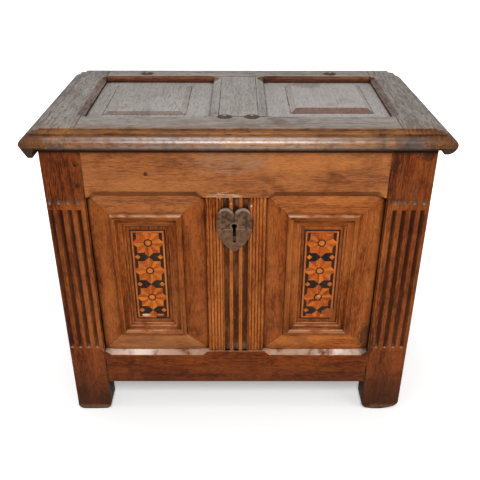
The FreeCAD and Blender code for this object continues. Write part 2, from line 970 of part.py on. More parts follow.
plate_y = (rail_thickness, rail_thickness + lock_plate_thickness)
plate_top = case_height - lock_plate_top_gap
plate_bottom = keyhole_z - lock_plate_below_keyhole
bolt_y = (plate_y[1] + bolt_standoff, plate_y[1] + bolt_standoff + bolt_thickness)
bolt_tip_x = -staple_width / 2 - bolt_tip_gap
near_guide_x = (bolt_tip_x - guide_gap - guide_length, bolt_tip_x - guide_gap)
tail_x = near_guide_x[0] - tail_gap - bolt_travel - bolt_tail_width
far_guide_x = (tail_x - tail_gap - guide_length, tail_x - tail_gap)
keeper_x = (staple_width / 2 + bolt_tip_gap, staple_width / 2 + bolt_tip_gap + guide_length)
bolt_end_x = far_guide_x[0] - guide_gap - bolt_travel
plate_half_width = -bolt_end_x + guide_gap


def lock_nail_places():
    high = plate_half_width - lock_plate_edge
    low = lock_plate_low_half_width - lock_plate_edge
    rows = [
        (high, plate_top - lock_plate_edge), (high, opening_z[1] + 2 * lock_plate_edge),
        (low, plate_bottom + lock_plate_edge),
    ]
    return [vec(side * x, plate_y[1], z) for x, z in rows for side in (-1, 1)]


def lock_nail_holes():
    return [shank_hole(nail_shank_radius, nail_length, place, vec(0, 1, 0)) for place in lock_nail_places()]


def lock_nails():
    return Part.makeCompound([
        domed_pin(nail_head_radius, nail_head_height, nail_shank_radius, nail_length, place, vec(0, 1, 0))
        for place in lock_nail_places()
    ])


def lock_plate():
    """Plate that is wide on the top rail and narrow down the muntin."""
    wide_z = (opening_z[1] + lock_plate_edge, plate_top)
    narrow_z = (plate_bottom, opening_z[1] + lock_plate_edge)
    plate = block(about(0, 2 * plate_half_width), plate_y, wide_z)
    plate = clean(plate.fuse(block(about(0, 2 * lock_plate_low_half_width), plate_y, narrow_z)))
    return plate.cut([keyhole(plate_y)] + lock_nail_holes())


def lock_guides():
    """Blocks on the plate that the bolt slides through: two guides and the keeper past the staple."""
    slot_y = grown(bolt_y, bolt_clear)
    slot_z = grown(bolt_z, bolt_clear)
    guides = []
    for x in (far_guide_x, near_guide_x, keeper_x):
        guide = block(x, (plate_y[1], slot_y[1] + guide_wall), grown(slot_z, guide_wall))
        guides.append(guide.cut(block(x, slot_y, slot_z)))
    return Part.makeCompound(guides)


def lock_bolt():
    """Sliding bar with a tail that hangs to the key and ends in a foot with a notch for the key's bit."""
    bolt = block((bolt_end_x, bolt_tip_x), bolt_y, bolt_z)
    tail_y = (bolt_y[0], bolt_y[0] + bolt_tail_thickness)
    foot_z = (keyhole_z + bolt_foot_rise, keyhole_z + bolt_foot_rise + bolt_foot_height)
    foot_end = keyhole_x - bolt_foot_short
    tail = block((tail_x, tail_x + bolt_tail_width), tail_y, (foot_z[0], bolt_z[0]))
    foot = block((tail_x, foot_end), tail_y, foot_z)
    talon_x = (foot_end - 2 * talon_width, foot_end - talon_width)
    talon = block(talon_x, tail_y, (foot_z[0], foot_z[0] + talon_depth))
    return clean(bolt.fuse([tail, foot])).cut(talon)


def lock_spring():
    """Leaf spring on a stud, bearing on top of the bolt."""
    anchor_x = (near_guide_x[0] - guide_gap - spring_anchor_size, near_guide_x[0] - guide_gap)
    anchor_z = (bolt_z[1] + spring_rise, bolt_z[1] + spring_rise + spring_anchor_size)
    anchor = block(anchor_x, (plate_y[1], bolt_y[1]), anchor_z)
    rest_z = bolt_z[1] + bolt_clear
    leaf = bar([
        (anchor_x[0], anchor_z[0]), (anchor_x[0], anchor_z[0] + spring_thickness),
        (anchor_x[0] - spring_reach, rest_z + spring_thickness), (anchor_x[0] - spring_reach, rest_z),
    ], "y", bolt_y)
    return clean(anchor.fuse(leaf))


def lock_cover():
    """Cap over the key's path, open at the top where the key's bit meets the bolt's foot."""
    x = about(keyhole_x, 2 * cover_half_width)
    z = (keyhole_z - cover_fall, keyhole_z + cover_rise)
    outside = block(x, (plate_y[1], plate_y[1] + cover_depth), z)
    inside_y = (plate_y[1], plate_y[1] + cover_depth - cover_wall)
    inside = block(grown(x, -cover_wall), inside_y, (z[0] + cover_wall, z[1]))
    return outside.cut(inside)


def lock_key_pin():
    """Pin that a hollow key turns on, standing forward from the cover."""
    back = plate_y[1] + cover_depth - cover_wall
    return rod(
        key_pin_radius,
        vec(keyhole_x, back, keyhole_z),
        vec(keyhole_x, key_pin_front_setback, keyhole_z),
    )


# Lid

lid_flat_y = lid_front_y + edge_width
lid_flat_x = lid_width / 2 - edge_width
lid_opening_y = (lid_front_y + lid_front_rail_width, lid_back_y - lid_back_rail_width)
lid_opening_x = (lid_muntin_width / 2, lid_width / 2 - lid_stile_width)
lid_panel_z = (lid_top - lid_panel_sink - lid_panel_thickness, lid_top - lid_panel_sink)
lid_tenon_z = about((lid_bottom + lid_top) / 2, lid_tenon_thickness)


def edge_top(place):
    """Upper part of the moulded edge: flat, two fillets and the nose down to its widest point."""
    ledge_z = lid_thickness - edge_first_drop - edge_slope
    slanting = place(edge_nose_x + edge_nose_slant, edge_nose_radius + edge_nose_slant)
    return [
        place(0, lid_thickness),
        place(0, lid_thickness - edge_first_drop),
        place(edge_first_width, ledge_z),
        place(edge_first_width, ledge_z - edge_second_drop),
        place(edge_nose_x, 2 * edge_nose_radius),
        (slanting, place(edge_width, edge_nose_radius)),
    ]


def edge_outline(inner, place):
    """Section of the lid's front: the flat and the moulded edge with its round nose."""
    outline = [place(inner, 0), place(inner, lid_thickness)]
    outline += edge_top(place)
    slanting = place(edge_nose_x + edge_nose_slant, edge_nose_radius - edge_nose_slant)
    outline.append((slanting, place(edge_nose_x, 0)))
    return outline


def lip_front_outline(inner, place, lip_drop):
    """Section of the lid's front outside the case, where the nose runs down into the lip."""
    outline = [place(inner, -lip_drop), place(inner, lid_thickness)]
    outline += edge_top(place)
    outline.append(place(edge_width - lip_front_rake, -lip_drop))
    return outline


def end_outline(inner, place, lip_drop, lip_foot_width, lip_bulge):
    """Section of the lid's ends: the moulded edge with a lip that hangs outside the case."""
    lip_x = edge_width - lid_side_overhang + lip_gap
    lip_foot = lip_x + lip_foot_width
    outline = [place(inner, 0), place(inner, lid_thickness)]
    outline += edge_top(place)
    outline.append((
        place((edge_width + lip_foot) / 2 + lip_bulge, (edge_nose_radius - lip_drop) / 2 - lip_bulge),
        place(lip_foot, -lip_drop),
    ))
    outline.append(place(lip_x, -lip_drop))
    outline.append(place(lip_x, 0))
    return outline


def front_place(outwards, height):
    return (lid_flat_y - outwards, lid_bottom + height)


def right_place(outwards, height):
    return (lid_flat_x + outwards, lid_bottom + height)


def lid_panel_slab(reach, gap=0.0):
    """Right-hand lid panel, reaching into its grooves."""
    return block(grown(lid_opening_x, reach), grown(lid_opening_y, reach), grown(lid_panel_z, gap))


def mirrored(shape):
    return shape.mirror(vec(0, 0, 0), vec(1, 0, 0))


def both_sides(shape):
    return [shape, mirrored(shape)]


def lid_grooves():
    return both_sides(lid_panel_slab(groove_depth, groove_gap))


def lid_front_tenon(gap=0.0, end_gap=0.0):
    x = (lid_opening_x[1], lid_opening_x[1] + lid_tenon_length + end_gap)
    y = grown((lid_flat_y + lid_tenon_shoulder, lid_opening_y[0] - lid_tenon_shoulder), gap)
    return block(x, y, grown(lid_tenon_z, gap))


def lid_back_tenon(gap=0.0, end_gap=0.0):
    x = (lid_opening_x[1], lid_opening_x[1] + lid_tenon_length + end_gap)
    y = grown((lid_opening_y[1] + lid_tenon_shoulder, lid_back_y - lid_tenon_shoulder), gap)
    return block(x, y, grown(lid_tenon_z, gap))


def lid_muntin_tenons(gap=0.0, end_gap=0.0):
    x = grown(about(0, lid_muntin_tenon_width), gap)
    z = grown(lid_tenon_z, gap)
    return [
        block(x, (lid_opening_y[0] - muntin_tenon_length - end_gap, lid_opening_y[0]), z),
        block(x, (lid_opening_y[1], lid_opening_y[1] + muntin_tenon_length + end_gap), z),
    ]


def lid_front_rail():
    section = edge_outline(lid_flat_y - lid_opening_y[0], front_place)
    rail = bar(section, "x", about(0, 2 * lid_opening_x[1])).fuse(both_sides(lid_front_tenon()))
    rail = clean(rail).cut(lid_grooves() + lid_muntin_tenons(joint_gap, tongue_gap))
    bevel = stopped_bevel(
        vec(lid_opening_x[0], lid_opening_y[0], lid_top), vec(lid_opening_x[1], lid_opening_y[0], lid_top),
        vec(0, -lid_rail_bevel, 0), vec(0, 0, -lid_rail_bevel), lid_bevel_stop,
    )
    return rail.cut(both_sides(bevel) + rivet_holes())


def lid_back_rail():
    y = (lid_opening_y[1], lid_back_y)
    rail = block(about(0, 2 * lid_opening_x[1]), y, (lid_bottom, lid_top)).fuse(both_sides(lid_back_tenon()))
    rail = clean(rail).cut(lid_grooves() + lid_muntin_tenons(joint_gap, tongue_gap))
    bevel = stopped_bevel(
        vec(lid_opening_x[0], lid_opening_y[1], lid_top), vec(lid_opening_x[1], lid_opening_y[1], lid_top),
        vec(0, lid_rail_bevel, 0), vec(0, 0, -lid_rail_bevel), lid_rail_bevel,
    )
    return rail.cut(both_sides(bevel) + rivet_holes() + hinge_pockets())


def lid_back_half_width(lean):
    return lid_width / 2 + lid_end_flare - lid_depth * math.tan(math.radians(lean))


def lid_stile(lean, lip_drop, lip_foot_width, lip_bulge):
    """Right-hand end of the lid, wider in front, with the moulded edge returned round the front corner."""
    end = bar(
        end_outline(lid_opening_x[0] - lid_flat_x, right_place, lip_drop, lip_foot_width, lip_bulge),
        "y", grown((lid_front_y, lid_back_y), lid_stile_width),
    )
    end.rotate(vec(lid_width / 2, lid_front_y, 0), vec(0, 0, 1), lean)
    end.translate(vec(lid_end_flare, 0, 0))
    depth = lid_flat_y - lid_back_y
    lip_start = case_width / 2 + lip_gap
    above = bar(edge_outline(depth, front_place), "x", (lid_opening_x[1], lip_start))
    outside = bar(
        lip_front_outline(depth, front_place, lip_drop), "x", (lip_start, lid_width / 2 + 2 * lid_end_flare),
    )
    stile = clean(end.common(above.fuse(outside)))
    cutters = lid_grooves() + [lid_front_tenon(joint_gap, tongue_gap), lid_back_tenon(joint_gap, tongue_gap)]
    cutters.append(stopped_bevel(
        vec(lid_opening_x[1], lid_opening_y[0], lid_top), vec(lid_opening_x[1], lid_opening_y[1], lid_top),
        vec(lid_stile_bevel, 0, 0), vec(0, 0, -lid_stile_bevel), lid_bevel_stop,
    ))
    return stile.cut(cutters)


def right_stile():
    """The right back corner is worn round."""
    x = lid_back_half_width(right_end_lean)
    radius = lid_round_corner
    slant = radius * (1 - math.sin(math.pi / 4))
    corner = bar([
        (x + radius, lid_back_y), (x + radius, lid_back_y - radius), (x, lid_back_y - radius),
        ((x - slant, lid_back_y - slant), (x - radius, lid_back_y)),
    ], "z", (lid_bottom - right_lip_drop, lid_top))
    stile = lid_stile(right_end_lean, right_lip_drop, right_lip_foot_width, right_lip_bulge)
    return stile.cut(corner)


def left_stile():
    """The left back corner is cut off straight."""
    x = -lid_back_half_width(left_end_lean)
    cut = lid_cut_corner
    cut_y = lid_back_y - lid_cut_depth
    corner = bar([
        (x - cut, lid_back_y), (x - cut, cut_y), (x, cut_y), (x + cut, lid_back_y),
    ], "z", (lid_bottom - left_lip_drop, lid_top))
    stile = lid_stile(left_end_lean, left_lip_drop, left_lip_foot_width, left_lip_bulge)
    return mirrored(stile).cut(corner)


def lid_muntin():
    """Middle of the lid's frame, with wide bevels down to the panels."""
    muntin = block(about(0, lid_muntin_width), lid_opening_y, (lid_bottom, lid_top)).fuse(lid_muntin_tenons())
    edge = lid_muntin_width / 2
    bevel = stopped_bevel(
        vec(edge, lid_opening_y[0], lid_top), vec(edge, lid_opening_y[1], lid_top),
        vec(-lid_muntin_bevel, 0, 0), vec(0, 0, -lid_muntin_bevel_depth), lid_bevel_stop,
    )
    return clean(muntin).cut(lid_grooves() + both_sides(bevel) + rivet_holes())


def lid_panel(field_front_margin, field_height):
    """Right-hand lid panel with its raised field, which lies nearer the end and the back."""
    x = (lid_opening_x[0] + lid_field_inner_margin, lid_opening_x[1] - lid_field_outer_margin)
    y = (lid_opening_y[0] + field_front_margin, lid_opening_y[1] - lid_field_back_margin)
    field = raised_field(x, y, lid_panel_z[1], lid_panel_z[1] + field_height, lid_field_bevel)
    return clean(lid_panel_slab(groove_depth - tongue_gap).fuse(field))


# Rivets in the lid

def rivet_places():
    """Seats of the rivet heads on top of the lid, each with the length of its shank."""
    hinge_y = lid_back_y - hinge_rivet_inset
    staple_y = lid_opening_y[0] - staple_rivet_inset
    places = [(vec(x, hinge_y, lid_top), lid_thickness) for x in about(0, hinge_spread)]
    staple_length = lid_thickness + staple_plate_thickness
    places += [(vec(x, staple_y, lid_top), staple_length) for x in about(0, staple_rivet_spread)]
    return places


def rivet_holes():
    return [shank_hole(rivet_shank_radius, length, place, vec(0, 0, 1)) for place, length in rivet_places()]


def lid_rivets():
    return Part.makeCompound([
        domed_pin(rivet_head_radius, rivet_head_height, rivet_shank_radius, length, place, vec(0, 0, 1))
        for place, length in rivet_places()
    ])


# Staple that hangs from the lid into the lock

def lid_staple():
    """Plate under the lid with a loop that the bolt passes through."""
    loop_y = front_y + plate_y[1] + staple_front_gap
    loop_back = loop_y + 2 * staple_leg + staple_eye
    plate_low = lid_bottom - staple_plate_thickness
    loop_low = bolt_z[0] - staple_bottom_gap - staple_leg
    rivet_y = lid_opening_y[0] - staple_rivet_inset
    plate = block(
        about(0, 2 * staple_plate_half_width), (loop_y, rivet_y + staple_plate_tail), (plate_low, lid_bottom),
    )
    loop = block(about(0, staple_width), (loop_y, loop_back), (loop_low, plate_low))
    eye_y = (loop_y + staple_leg, loop_back - staple_leg)
    eye = block(about(0, staple_width), eye_y, (loop_low + staple_leg, plate_low))
    return clean(plate.fuse(loop.cut(eye))).cut(rivet_holes())


# Hinges, drawn about the middle of one hinge

knuckle_length = (hinge_width - 2 * hinge_clear) / 3
hinge_axis_low = vec(-hinge_width / 2, hinge_axis_y, hinge_axis_z)
hinge_axis_high = vec(hinge_width / 2, hinge_axis_y, hinge_axis_z)


def pair_of_hinges(shape):
    placed = []
    for x in about(0, hinge_spread):
        copy = shape.copy()
        copy.translate(vec(x, 0, 0))
        placed.append(copy)
    return placed


def knuckle(x):
    ends = [vec(end, hinge_axis_y, hinge_axis_z) for end in x]
    return rod(hinge_barrel_radius, *ends)


def pin_hole():
    return rod(hinge_pin_radius + hinge_pin_gap, hinge_axis_low, hinge_axis_high)


def outer_knuckles_x():
    half = hinge_width / 2
    return [(-half, -half + knuckle_length), (half - knuckle_length, half)]


def hinge_lid_leaf_z():
    return (lid_bottom, lid_bottom + hinge_leaf_thickness)


def hinge_lid_leaf_front():
    return lid_opening_y[1] + hinge_lid_leaf_inset


def hinge_lid_leaf():
    """Leaf let into the underside of the lid's back rail, with the middle knuckle."""
    clear_y = hinge_axis_y - hinge_barrel_radius - hinge_clear
    leaf = block(about(0, hinge_width), (hinge_lid_leaf_front(), clear_y), hinge_lid_leaf_z())
    tongue = block(about(0, knuckle_length), (clear_y, hinge_axis_y), hinge_lid_leaf_z())
    leaf = leaf.fuse([tongue, knuckle(about(0, knuckle_length))])
    return clean(leaf).cut(pin_hole())


def hinge_lid_leaves():
    return Part.makeCompound([leaf.cut(rivet_holes()) for leaf in pair_of_hinges(hinge_lid_leaf())])


def hinge_pockets():
    """Seats of the lid leaves, deeper and wider round the barrels."""
    seat = block(about(0, hinge_width), (hinge_lid_leaf_front(), lid_back_y), hinge_lid_leaf_z())
    barrel_y = hinge_axis_y - hinge_barrel_radius - 2 * hinge_clear
    barrel = block(
        grown(about(0, hinge_width), hinge_clear), (barrel_y, lid_back_y),
        (lid_bottom, lid_bottom + hinge_leaf_thickness + hinge_clear),
    )
    return pair_of_hinges(seat) + pair_of_hinges(barrel)


def hinge_case_leaf():
    """Leaf nailed to the outside of the back top rail, with the two outer knuckles."""
    y = (back_y, back_y + hinge_leaf_thickness)
    low = hinge_axis_z - hinge_case_leaf_height
    shoulder = hinge_axis_z - hinge_barrel_radius - hinge_clear
    leaf = block(about(0, hinge_width), y, (low, shoulder))
    for x in outer_knuckles_x():
        leaf = leaf.fuse([block(x, y, (shoulder, hinge_axis_z)), knuckle(x)])
    lid_knuckle_room = rod(
        hinge_barrel_radius + hinge_clear,
        vec(-knuckle_length / 2 - hinge_clear, hinge_axis_y, hinge_axis_z),
        vec(knuckle_length / 2 + hinge_clear, hinge_axis_y, hinge_axis_z),
    )
    return clean(leaf).cut([pin_hole(), lid_knuckle_room])


def hinge_nail_places():
    middle = hinge_axis_z - hinge_case_leaf_height / 2
    rows = [
        (-hinge_nail_spread / 2, middle), (hinge_nail_spread / 2, middle), (0, middle - hinge_nail_row),
    ]
    leaf_y = back_y + hinge_leaf_thickness
    return [vec(side + x, leaf_y, z) for side in about(0, hinge_spread) for x, z in rows]


def hinge_nail_holes():
    return [shank_hole(nail_shank_radius, nail_length, place, vec(0, 1, 0)) for place in hinge_nail_places()]


def hinge_case_leaves():
    return Part.makeCompound([leaf.cut(hinge_nail_holes()) for leaf in pair_of_hinges(hinge_case_leaf())])


def hinge_nails():
    return Part.makeCompound([
        domed_pin(nail_head_radius, nail_head_height, nail_shank_radius, nail_length, place, vec(0, 1, 0))
        for place in hinge_nail_places()
    ])


def hinge_pins():
    return Part.makeCompound(pair_of_hinges(rod(hinge_pin_radius, hinge_axis_low, hinge_axis_high)))


# All pieces by name

def front_panel_pieces(side, opening):
    drawn = {
        "panel_front_" + side: front_panel(opening),
        "bevel_boards_" + side: bevel_boards(opening),
        "panel_moulding_" + side: panel_moulding(opening),
        "inlay_border_" + side: border(opening),
        "inlay_string_" + side: string(opening),
        "inlay_ground_" + side: dark_ground(opening),
        "inlay_lit_veneers_" + side: lit_veneers(opening),
        "inlay_shaded_veneers_" + side: shaded_veneers(opening),
    }
    return {name: stand(shape, "front") for name, shape in drawn.items()}


def case_pieces():
    pieces = {
        "post_front_left": plain_post(-1, -1).cut(post_carving(-1)),
        "post_front_right": plain_post(1, -1).cut(post_carving(1)),
        "post_back_left": plain_post(-1, 1),
        "post_back_right": plain_post(1, 1),
        "rail_front_top": stand(front_top_rail(), "front"),
        "rail_front_bottom": stand(front_bottom_rail(), "front"),
        "muntin_front": stand(front_muntin(), "front"),
    }
    for side, opening in zip(("left", "right"), front_openings):
        pieces.update(front_panel_pieces(side, opening))
    for side in ("left", "right"):
        pieces["rail_" + side + "_top"] = stand(top_rail(side), side)
        pieces["rail_" + side + "_bottom"] = stand(bottom_rail(side), side)
        pieces["panel_" + side] = stand(side_panel(), side)
    back_top = top_rail("back").cut(muntin_tenons(0, joint_gap, tongue_gap))
    back_bottom = bottom_rail("back").cut(muntin_tenons(0, joint_gap, tongue_gap))
    pieces["rail_back_top"] = stand(back_top, "back").cut(hinge_nail_holes())
    pieces["rail_back_bottom"] = stand(back_bottom, "back")
    pieces["muntin_back"] = stand(back_muntin(), "back")
    for side, opening in zip(("right", "left"), back_openings):
        pieces["panel_back_" + side] = stand(panel_board(opening), "back")
    pegs = [stand(peg, wall) for wall in walls for peg in wall_pegs(wall)]
    pieces["joint_pegs"] = Part.makeCompound(pegs)
    pieces["bottom_boards"] = bottom_boards()
    return pieces


def iron_pieces():
    drawn = {
        "escutcheon": escutcheon(),
        "escutcheon_tacks": escutcheon_tacks(),
        "lock_plate": lock_plate(),
        "lock_guides": lock_guides(),
        "lock_bolt": lock_bolt(),
        "lock_spring": lock_spring(),
        "lock_cover": lock_cover(),
        "lock_key_pin": lock_key_pin(),
        "lock_nails": lock_nails(),
    }
    pieces = {name: stand(shape, "front") for name, shape in drawn.items()}
    pieces["hinge_case_leaves"] = hinge_case_leaves()
    pieces["hinge_lid_leaves"] = hinge_lid_leaves()
    pieces["hinge_pins"] = hinge_pins()
    pieces["hinge_nails"] = hinge_nails()
    pieces["lid_staple"] = lid_staple()
    pieces["lid_rivets"] = lid_rivets()
    return pieces


def lid_pieces():
    return {
        "lid_rail_front": lid_front_rail(),
        "lid_rail_back": lid_back_rail(),
        "lid_stile_left": left_stile(),
        "lid_stile_right": right_stile(),
        "lid_muntin": lid_muntin(),
        "lid_panel_left": mirrored(lid_panel(left_field_front_margin, left_field_height)),
        "lid_panel_right": lid_panel(right_field_front_margin, right_field_height),
    }


os.makedirs("parts", exist_ok=True)
for name, shape in {**case_pieces(), **iron_pieces(), **lid_pieces()}.items():
    shape.exportStep("parts/" + name + ".step")
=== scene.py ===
import json
import math
import random

import bmesh
import bpy
from mathutils import Matrix, Vector


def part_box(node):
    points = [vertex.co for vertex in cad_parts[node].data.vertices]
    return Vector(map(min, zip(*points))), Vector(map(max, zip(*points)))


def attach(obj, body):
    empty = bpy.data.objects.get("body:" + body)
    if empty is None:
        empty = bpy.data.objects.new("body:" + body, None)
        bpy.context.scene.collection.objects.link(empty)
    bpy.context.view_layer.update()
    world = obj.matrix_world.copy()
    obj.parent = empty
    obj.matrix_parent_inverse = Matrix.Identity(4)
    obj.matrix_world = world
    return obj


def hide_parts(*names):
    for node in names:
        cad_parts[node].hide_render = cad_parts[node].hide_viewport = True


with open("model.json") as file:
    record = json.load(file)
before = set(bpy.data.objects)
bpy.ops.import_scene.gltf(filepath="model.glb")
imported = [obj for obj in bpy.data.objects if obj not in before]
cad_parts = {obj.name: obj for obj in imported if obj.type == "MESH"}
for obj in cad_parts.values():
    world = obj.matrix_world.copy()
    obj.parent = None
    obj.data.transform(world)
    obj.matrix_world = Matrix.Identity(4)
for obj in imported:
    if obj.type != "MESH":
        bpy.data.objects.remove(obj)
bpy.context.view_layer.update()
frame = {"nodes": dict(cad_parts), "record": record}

# Sizes of details inside the pieces, in metres
LID_MOULDING_WIDTH = 0.03
KEYHOLE_OVER_TIP = 0.0555
FLUTE_END = 0.025
FLUTE_DEPTH = 0.0036
DOT_DEPTH = 0.0026
CARVING_LIMIT = 0.009
POST_MARGIN = 0.0045
MUNTIN_SETBACK = 0.003
MUNTIN_FLUTE_DEPTH = 0.003
MUNTIN_FLUTES_REACH = 0.0246
LID_MUNTIN_REACH = 0.06
HINGE_RIVET_X = 0.2
STAPLE_RIVET_X = 0.0245

# Places on the object, in metres, taken from the frame
FRONT_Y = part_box("rail_front_top")[0].y
CASE_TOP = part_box("rail_front_top")[1].z
LEFT_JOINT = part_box("post_front_left")[1].x
RIGHT_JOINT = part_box("post_front_right")[0].x
LID_FLAT_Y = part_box("lid_rail_front")[0].y + LID_MOULDING_WIDTH
LID_BACK_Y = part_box("lid_rail_back")[0].y - 0.002
LID_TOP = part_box("lid_rail_front")[1].z
LID_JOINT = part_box("lid_stile_right")[0].x
MUNTIN_X = sum(corner.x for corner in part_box("muntin_front")) / 2
HEART_X = sum(corner.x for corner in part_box("escutcheon")) / 2
HEART_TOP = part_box("escutcheon")[1].z
KEYHOLE_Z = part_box("escutcheon")[0].z + KEYHOLE_OVER_TIP
LEFT_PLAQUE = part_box("inlay_border_left")
RIGHT_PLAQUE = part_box("inlay_border_right")
OPENING_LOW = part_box("rail_front_bottom")[1].z
OPENING_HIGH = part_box("rail_front_top")[0].z
FLUTE_TOP = OPENING_HIGH - FLUTE_END
HINGE_RIVET_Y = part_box("lid_rail_back")[1].y - 0.027
STAPLE_RIVET_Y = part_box("lid_rail_front")[1].y - 0.004

chance = random.Random(1652)


# Node helpers

def add_node(tree, kind, inputs=None, **settings):
    """Makes a shader node, sets its properties and fills or links its inputs."""
    node = tree.nodes.new(kind)
    for name, value in settings.items():
        setattr(node, name, value)
    for name, value in (inputs or {}).items():
        socket = node.inputs[name]
        if isinstance(value, bpy.types.NodeSocket):
            tree.links.new(value, socket)
        else:
            socket.default_value = value
    return node


def math_node(tree, operation, first, second=0.0):
    """Result of one operation on one or two values."""
    return add_node(tree, "ShaderNodeMath", {0: first, 1: second}, operation=operation).outputs[0]


def length_of(tree, vector):
    """Length of a vector."""
    return add_node(tree, "ShaderNodeVectorMath", {0: vector}, operation="LENGTH").outputs["Value"]


def spread(tree, value, low, high, to_low=0.0, to_high=1.0):
    """Maps a value smoothly from one range to another and clamps it."""
    node = add_node(tree, "ShaderNodeMapRange", {
        "Value": value, "From Min": low, "From Max": high, "To Min": to_low, "To Max": to_high,
    }, interpolation_type="SMOOTHSTEP")
    return node.outputs[0]


def mix_colour(tree, factor, first, second):
    """Mix of two colours, which are the inputs 6 and 7 of a mix node; its colour result is output 2."""
    return add_node(tree, "ShaderNodeMix", {0: factor, 6: first, 7: second}, data_type="RGBA").outputs[2]


def scaled(tree, vector, scale, offset=(0.0, 0.0, 0.0)):
    """Vector scaled on each axis and then shifted."""
    node = add_node(tree, "ShaderNodeMapping", {"Vector": vector, "Scale": scale, "Location": offset})
    return node.outputs[0]


def noise(tree, vector, scale, detail=3.0, roughness=0.55, distortion=0.0):
    """Cloudy noise around 0.5."""
    node = add_node(tree, "ShaderNodeTexNoise", {
        "Vector": vector, "Scale": scale, "Detail": detail, "Roughness": roughness, "Distortion": distortion,
    })
    return node.outputs["Fac"]


def new_group(name, inputs, outputs):
    """Empty shader node group with named sockets; gives the tree and its input and output nodes."""
    tree = bpy.data.node_groups.new(name, "ShaderNodeTree")
    for socket, kind, value in inputs:
        made = tree.interface.new_socket(socket, in_out="INPUT", socket_type=kind)
        if value is not None:
            made.default_value = value
    for socket, kind in outputs:
        tree.interface.new_socket(socket, in_out="OUTPUT", socket_type=kind)
    return tree, tree.nodes.new("NodeGroupInput"), tree.nodes.new("NodeGroupOutput")


def rgb(red, green, blue):
    """Colour as seen on a screen, 0 to 255, in the linear values that a shader takes."""
    linear = []
    for part in (red, green, blue):
        share = part / 255
        linear.append(share / 12.92 if share <= 0.04045 else ((share + 0.055) / 1.055) ** 2.4)
    return (*linear, 1.0)


# Dark colour for soot and dirt, and for painted shade
SOOT_AND_SHADE = rgb(34, 20, 13)
IRON_TONES = (rgb(46, 32, 24), rgb(88, 64, 48))


# Shared finishes

def make_grain_group():
    """Oak grain along the first grain coordinate: streaks, pores, broad tone and a height for the bump."""
    tree, given, result = new_group(
        "oak_grain",
        [("Grain", "NodeSocketVector", None)],
        [(name, "NodeSocketFloat") for name in ("Streaks", "Pores", "Tone", "Height")],
    )
    grain = given.outputs["Grain"]
    sway = math_node(tree, "MULTIPLY", noise(tree, scaled(tree, grain, (3.0, 7.0, 7.0)), 1.0, 2.0), 0.014)
    shift = add_node(tree, "ShaderNodeCombineXYZ", {"Y": sway, "Z": sway})
    bent = add_node(tree, "ShaderNodeVectorMath", {0: grain, 1: shift.outputs[0]}, operation="ADD").outputs[0]
    broad = noise(tree, scaled(tree, bent, (5.0, 85.0, 85.0)), 1.0, 4.0, 0.6)
    fine = noise(tree, scaled(tree, bent, (45.0, 330.0, 330.0)), 1.0, 3.0, 0.6)
    fine_share = math_node(tree, "MULTIPLY", fine, 0.6)
    streaks = math_node(tree, "ADD", math_node(tree, "MULTIPLY", broad, 0.4), fine_share)
    dashes = noise(tree, scaled(tree, bent, (80.0, 560.0, 560.0)), 1.0, 2.0, 0.5)
    pores = spread(tree, dashes, 0.54, 0.68)
    tone = noise(tree, scaled(tree, grain, (4.0, 14.0, 14.0)), 1.0, 4.0, 0.6)
    height = math_node(tree, "SUBTRACT", streaks, math_node(tree, "MULTIPLY", pores, 0.6))
    tree.links.new(spread(tree, streaks, 0.38, 0.6), result.inputs["Streaks"])
    tree.links.new(pores, result.inputs["Pores"])
    tree.links.new(spread(tree, tone, 0.35, 0.66), result.inputs["Tone"])
    tree.links.new(height, result.inputs["Height"])
    return tree


def make_grime_and_shade_group():
    """Old dirt and painted shade, dark where surfaces close in on each other and broken up by noise."""
    tree, given, result = new_group(
        "corner_grime_and_shade",
        [("Place", "NodeSocketVector", None), ("Reach", "NodeSocketFloat", 0.012)],
        [("Grime and shade", "NodeSocketFloat")],
    )
    closed = add_node(tree, "ShaderNodeAmbientOcclusion", {"Distance": given.outputs["Reach"]}, samples=8)
    patchy = math_node(tree, "MULTIPLY", noise(tree, given.outputs["Place"], 45.0, 3.0), 0.35)
    open_share = math_node(tree, "SUBTRACT", closed.outputs["AO"], patchy)
    tree.links.new(spread(tree, open_share, 0.72, 0.12), result.inputs["Grime and shade"])
    return tree


def make_wear_group():
    """Rubbed edges, from the mask on their faces and broken up by noise."""
    tree, given, result = new_group(
        "edge_wear",
        [("Place", "NodeSocketVector", None), ("Edge", "NodeSocketFloat", 0.0)],
        [("Wear", "NodeSocketFloat")],
    )
    patchy = spread(tree, noise(tree, given.outputs["Place"], 30.0, 4.0, 0.65), 0.38, 0.62)
    tree.links.new(math_node(tree, "MULTIPLY", patchy, given.outputs["Edge"]), result.inputs["Wear"])
    return tree


grain_group = make_grain_group()
grime_and_shade_group = make_grime_and_shade_group()
wear_group = make_wear_group()


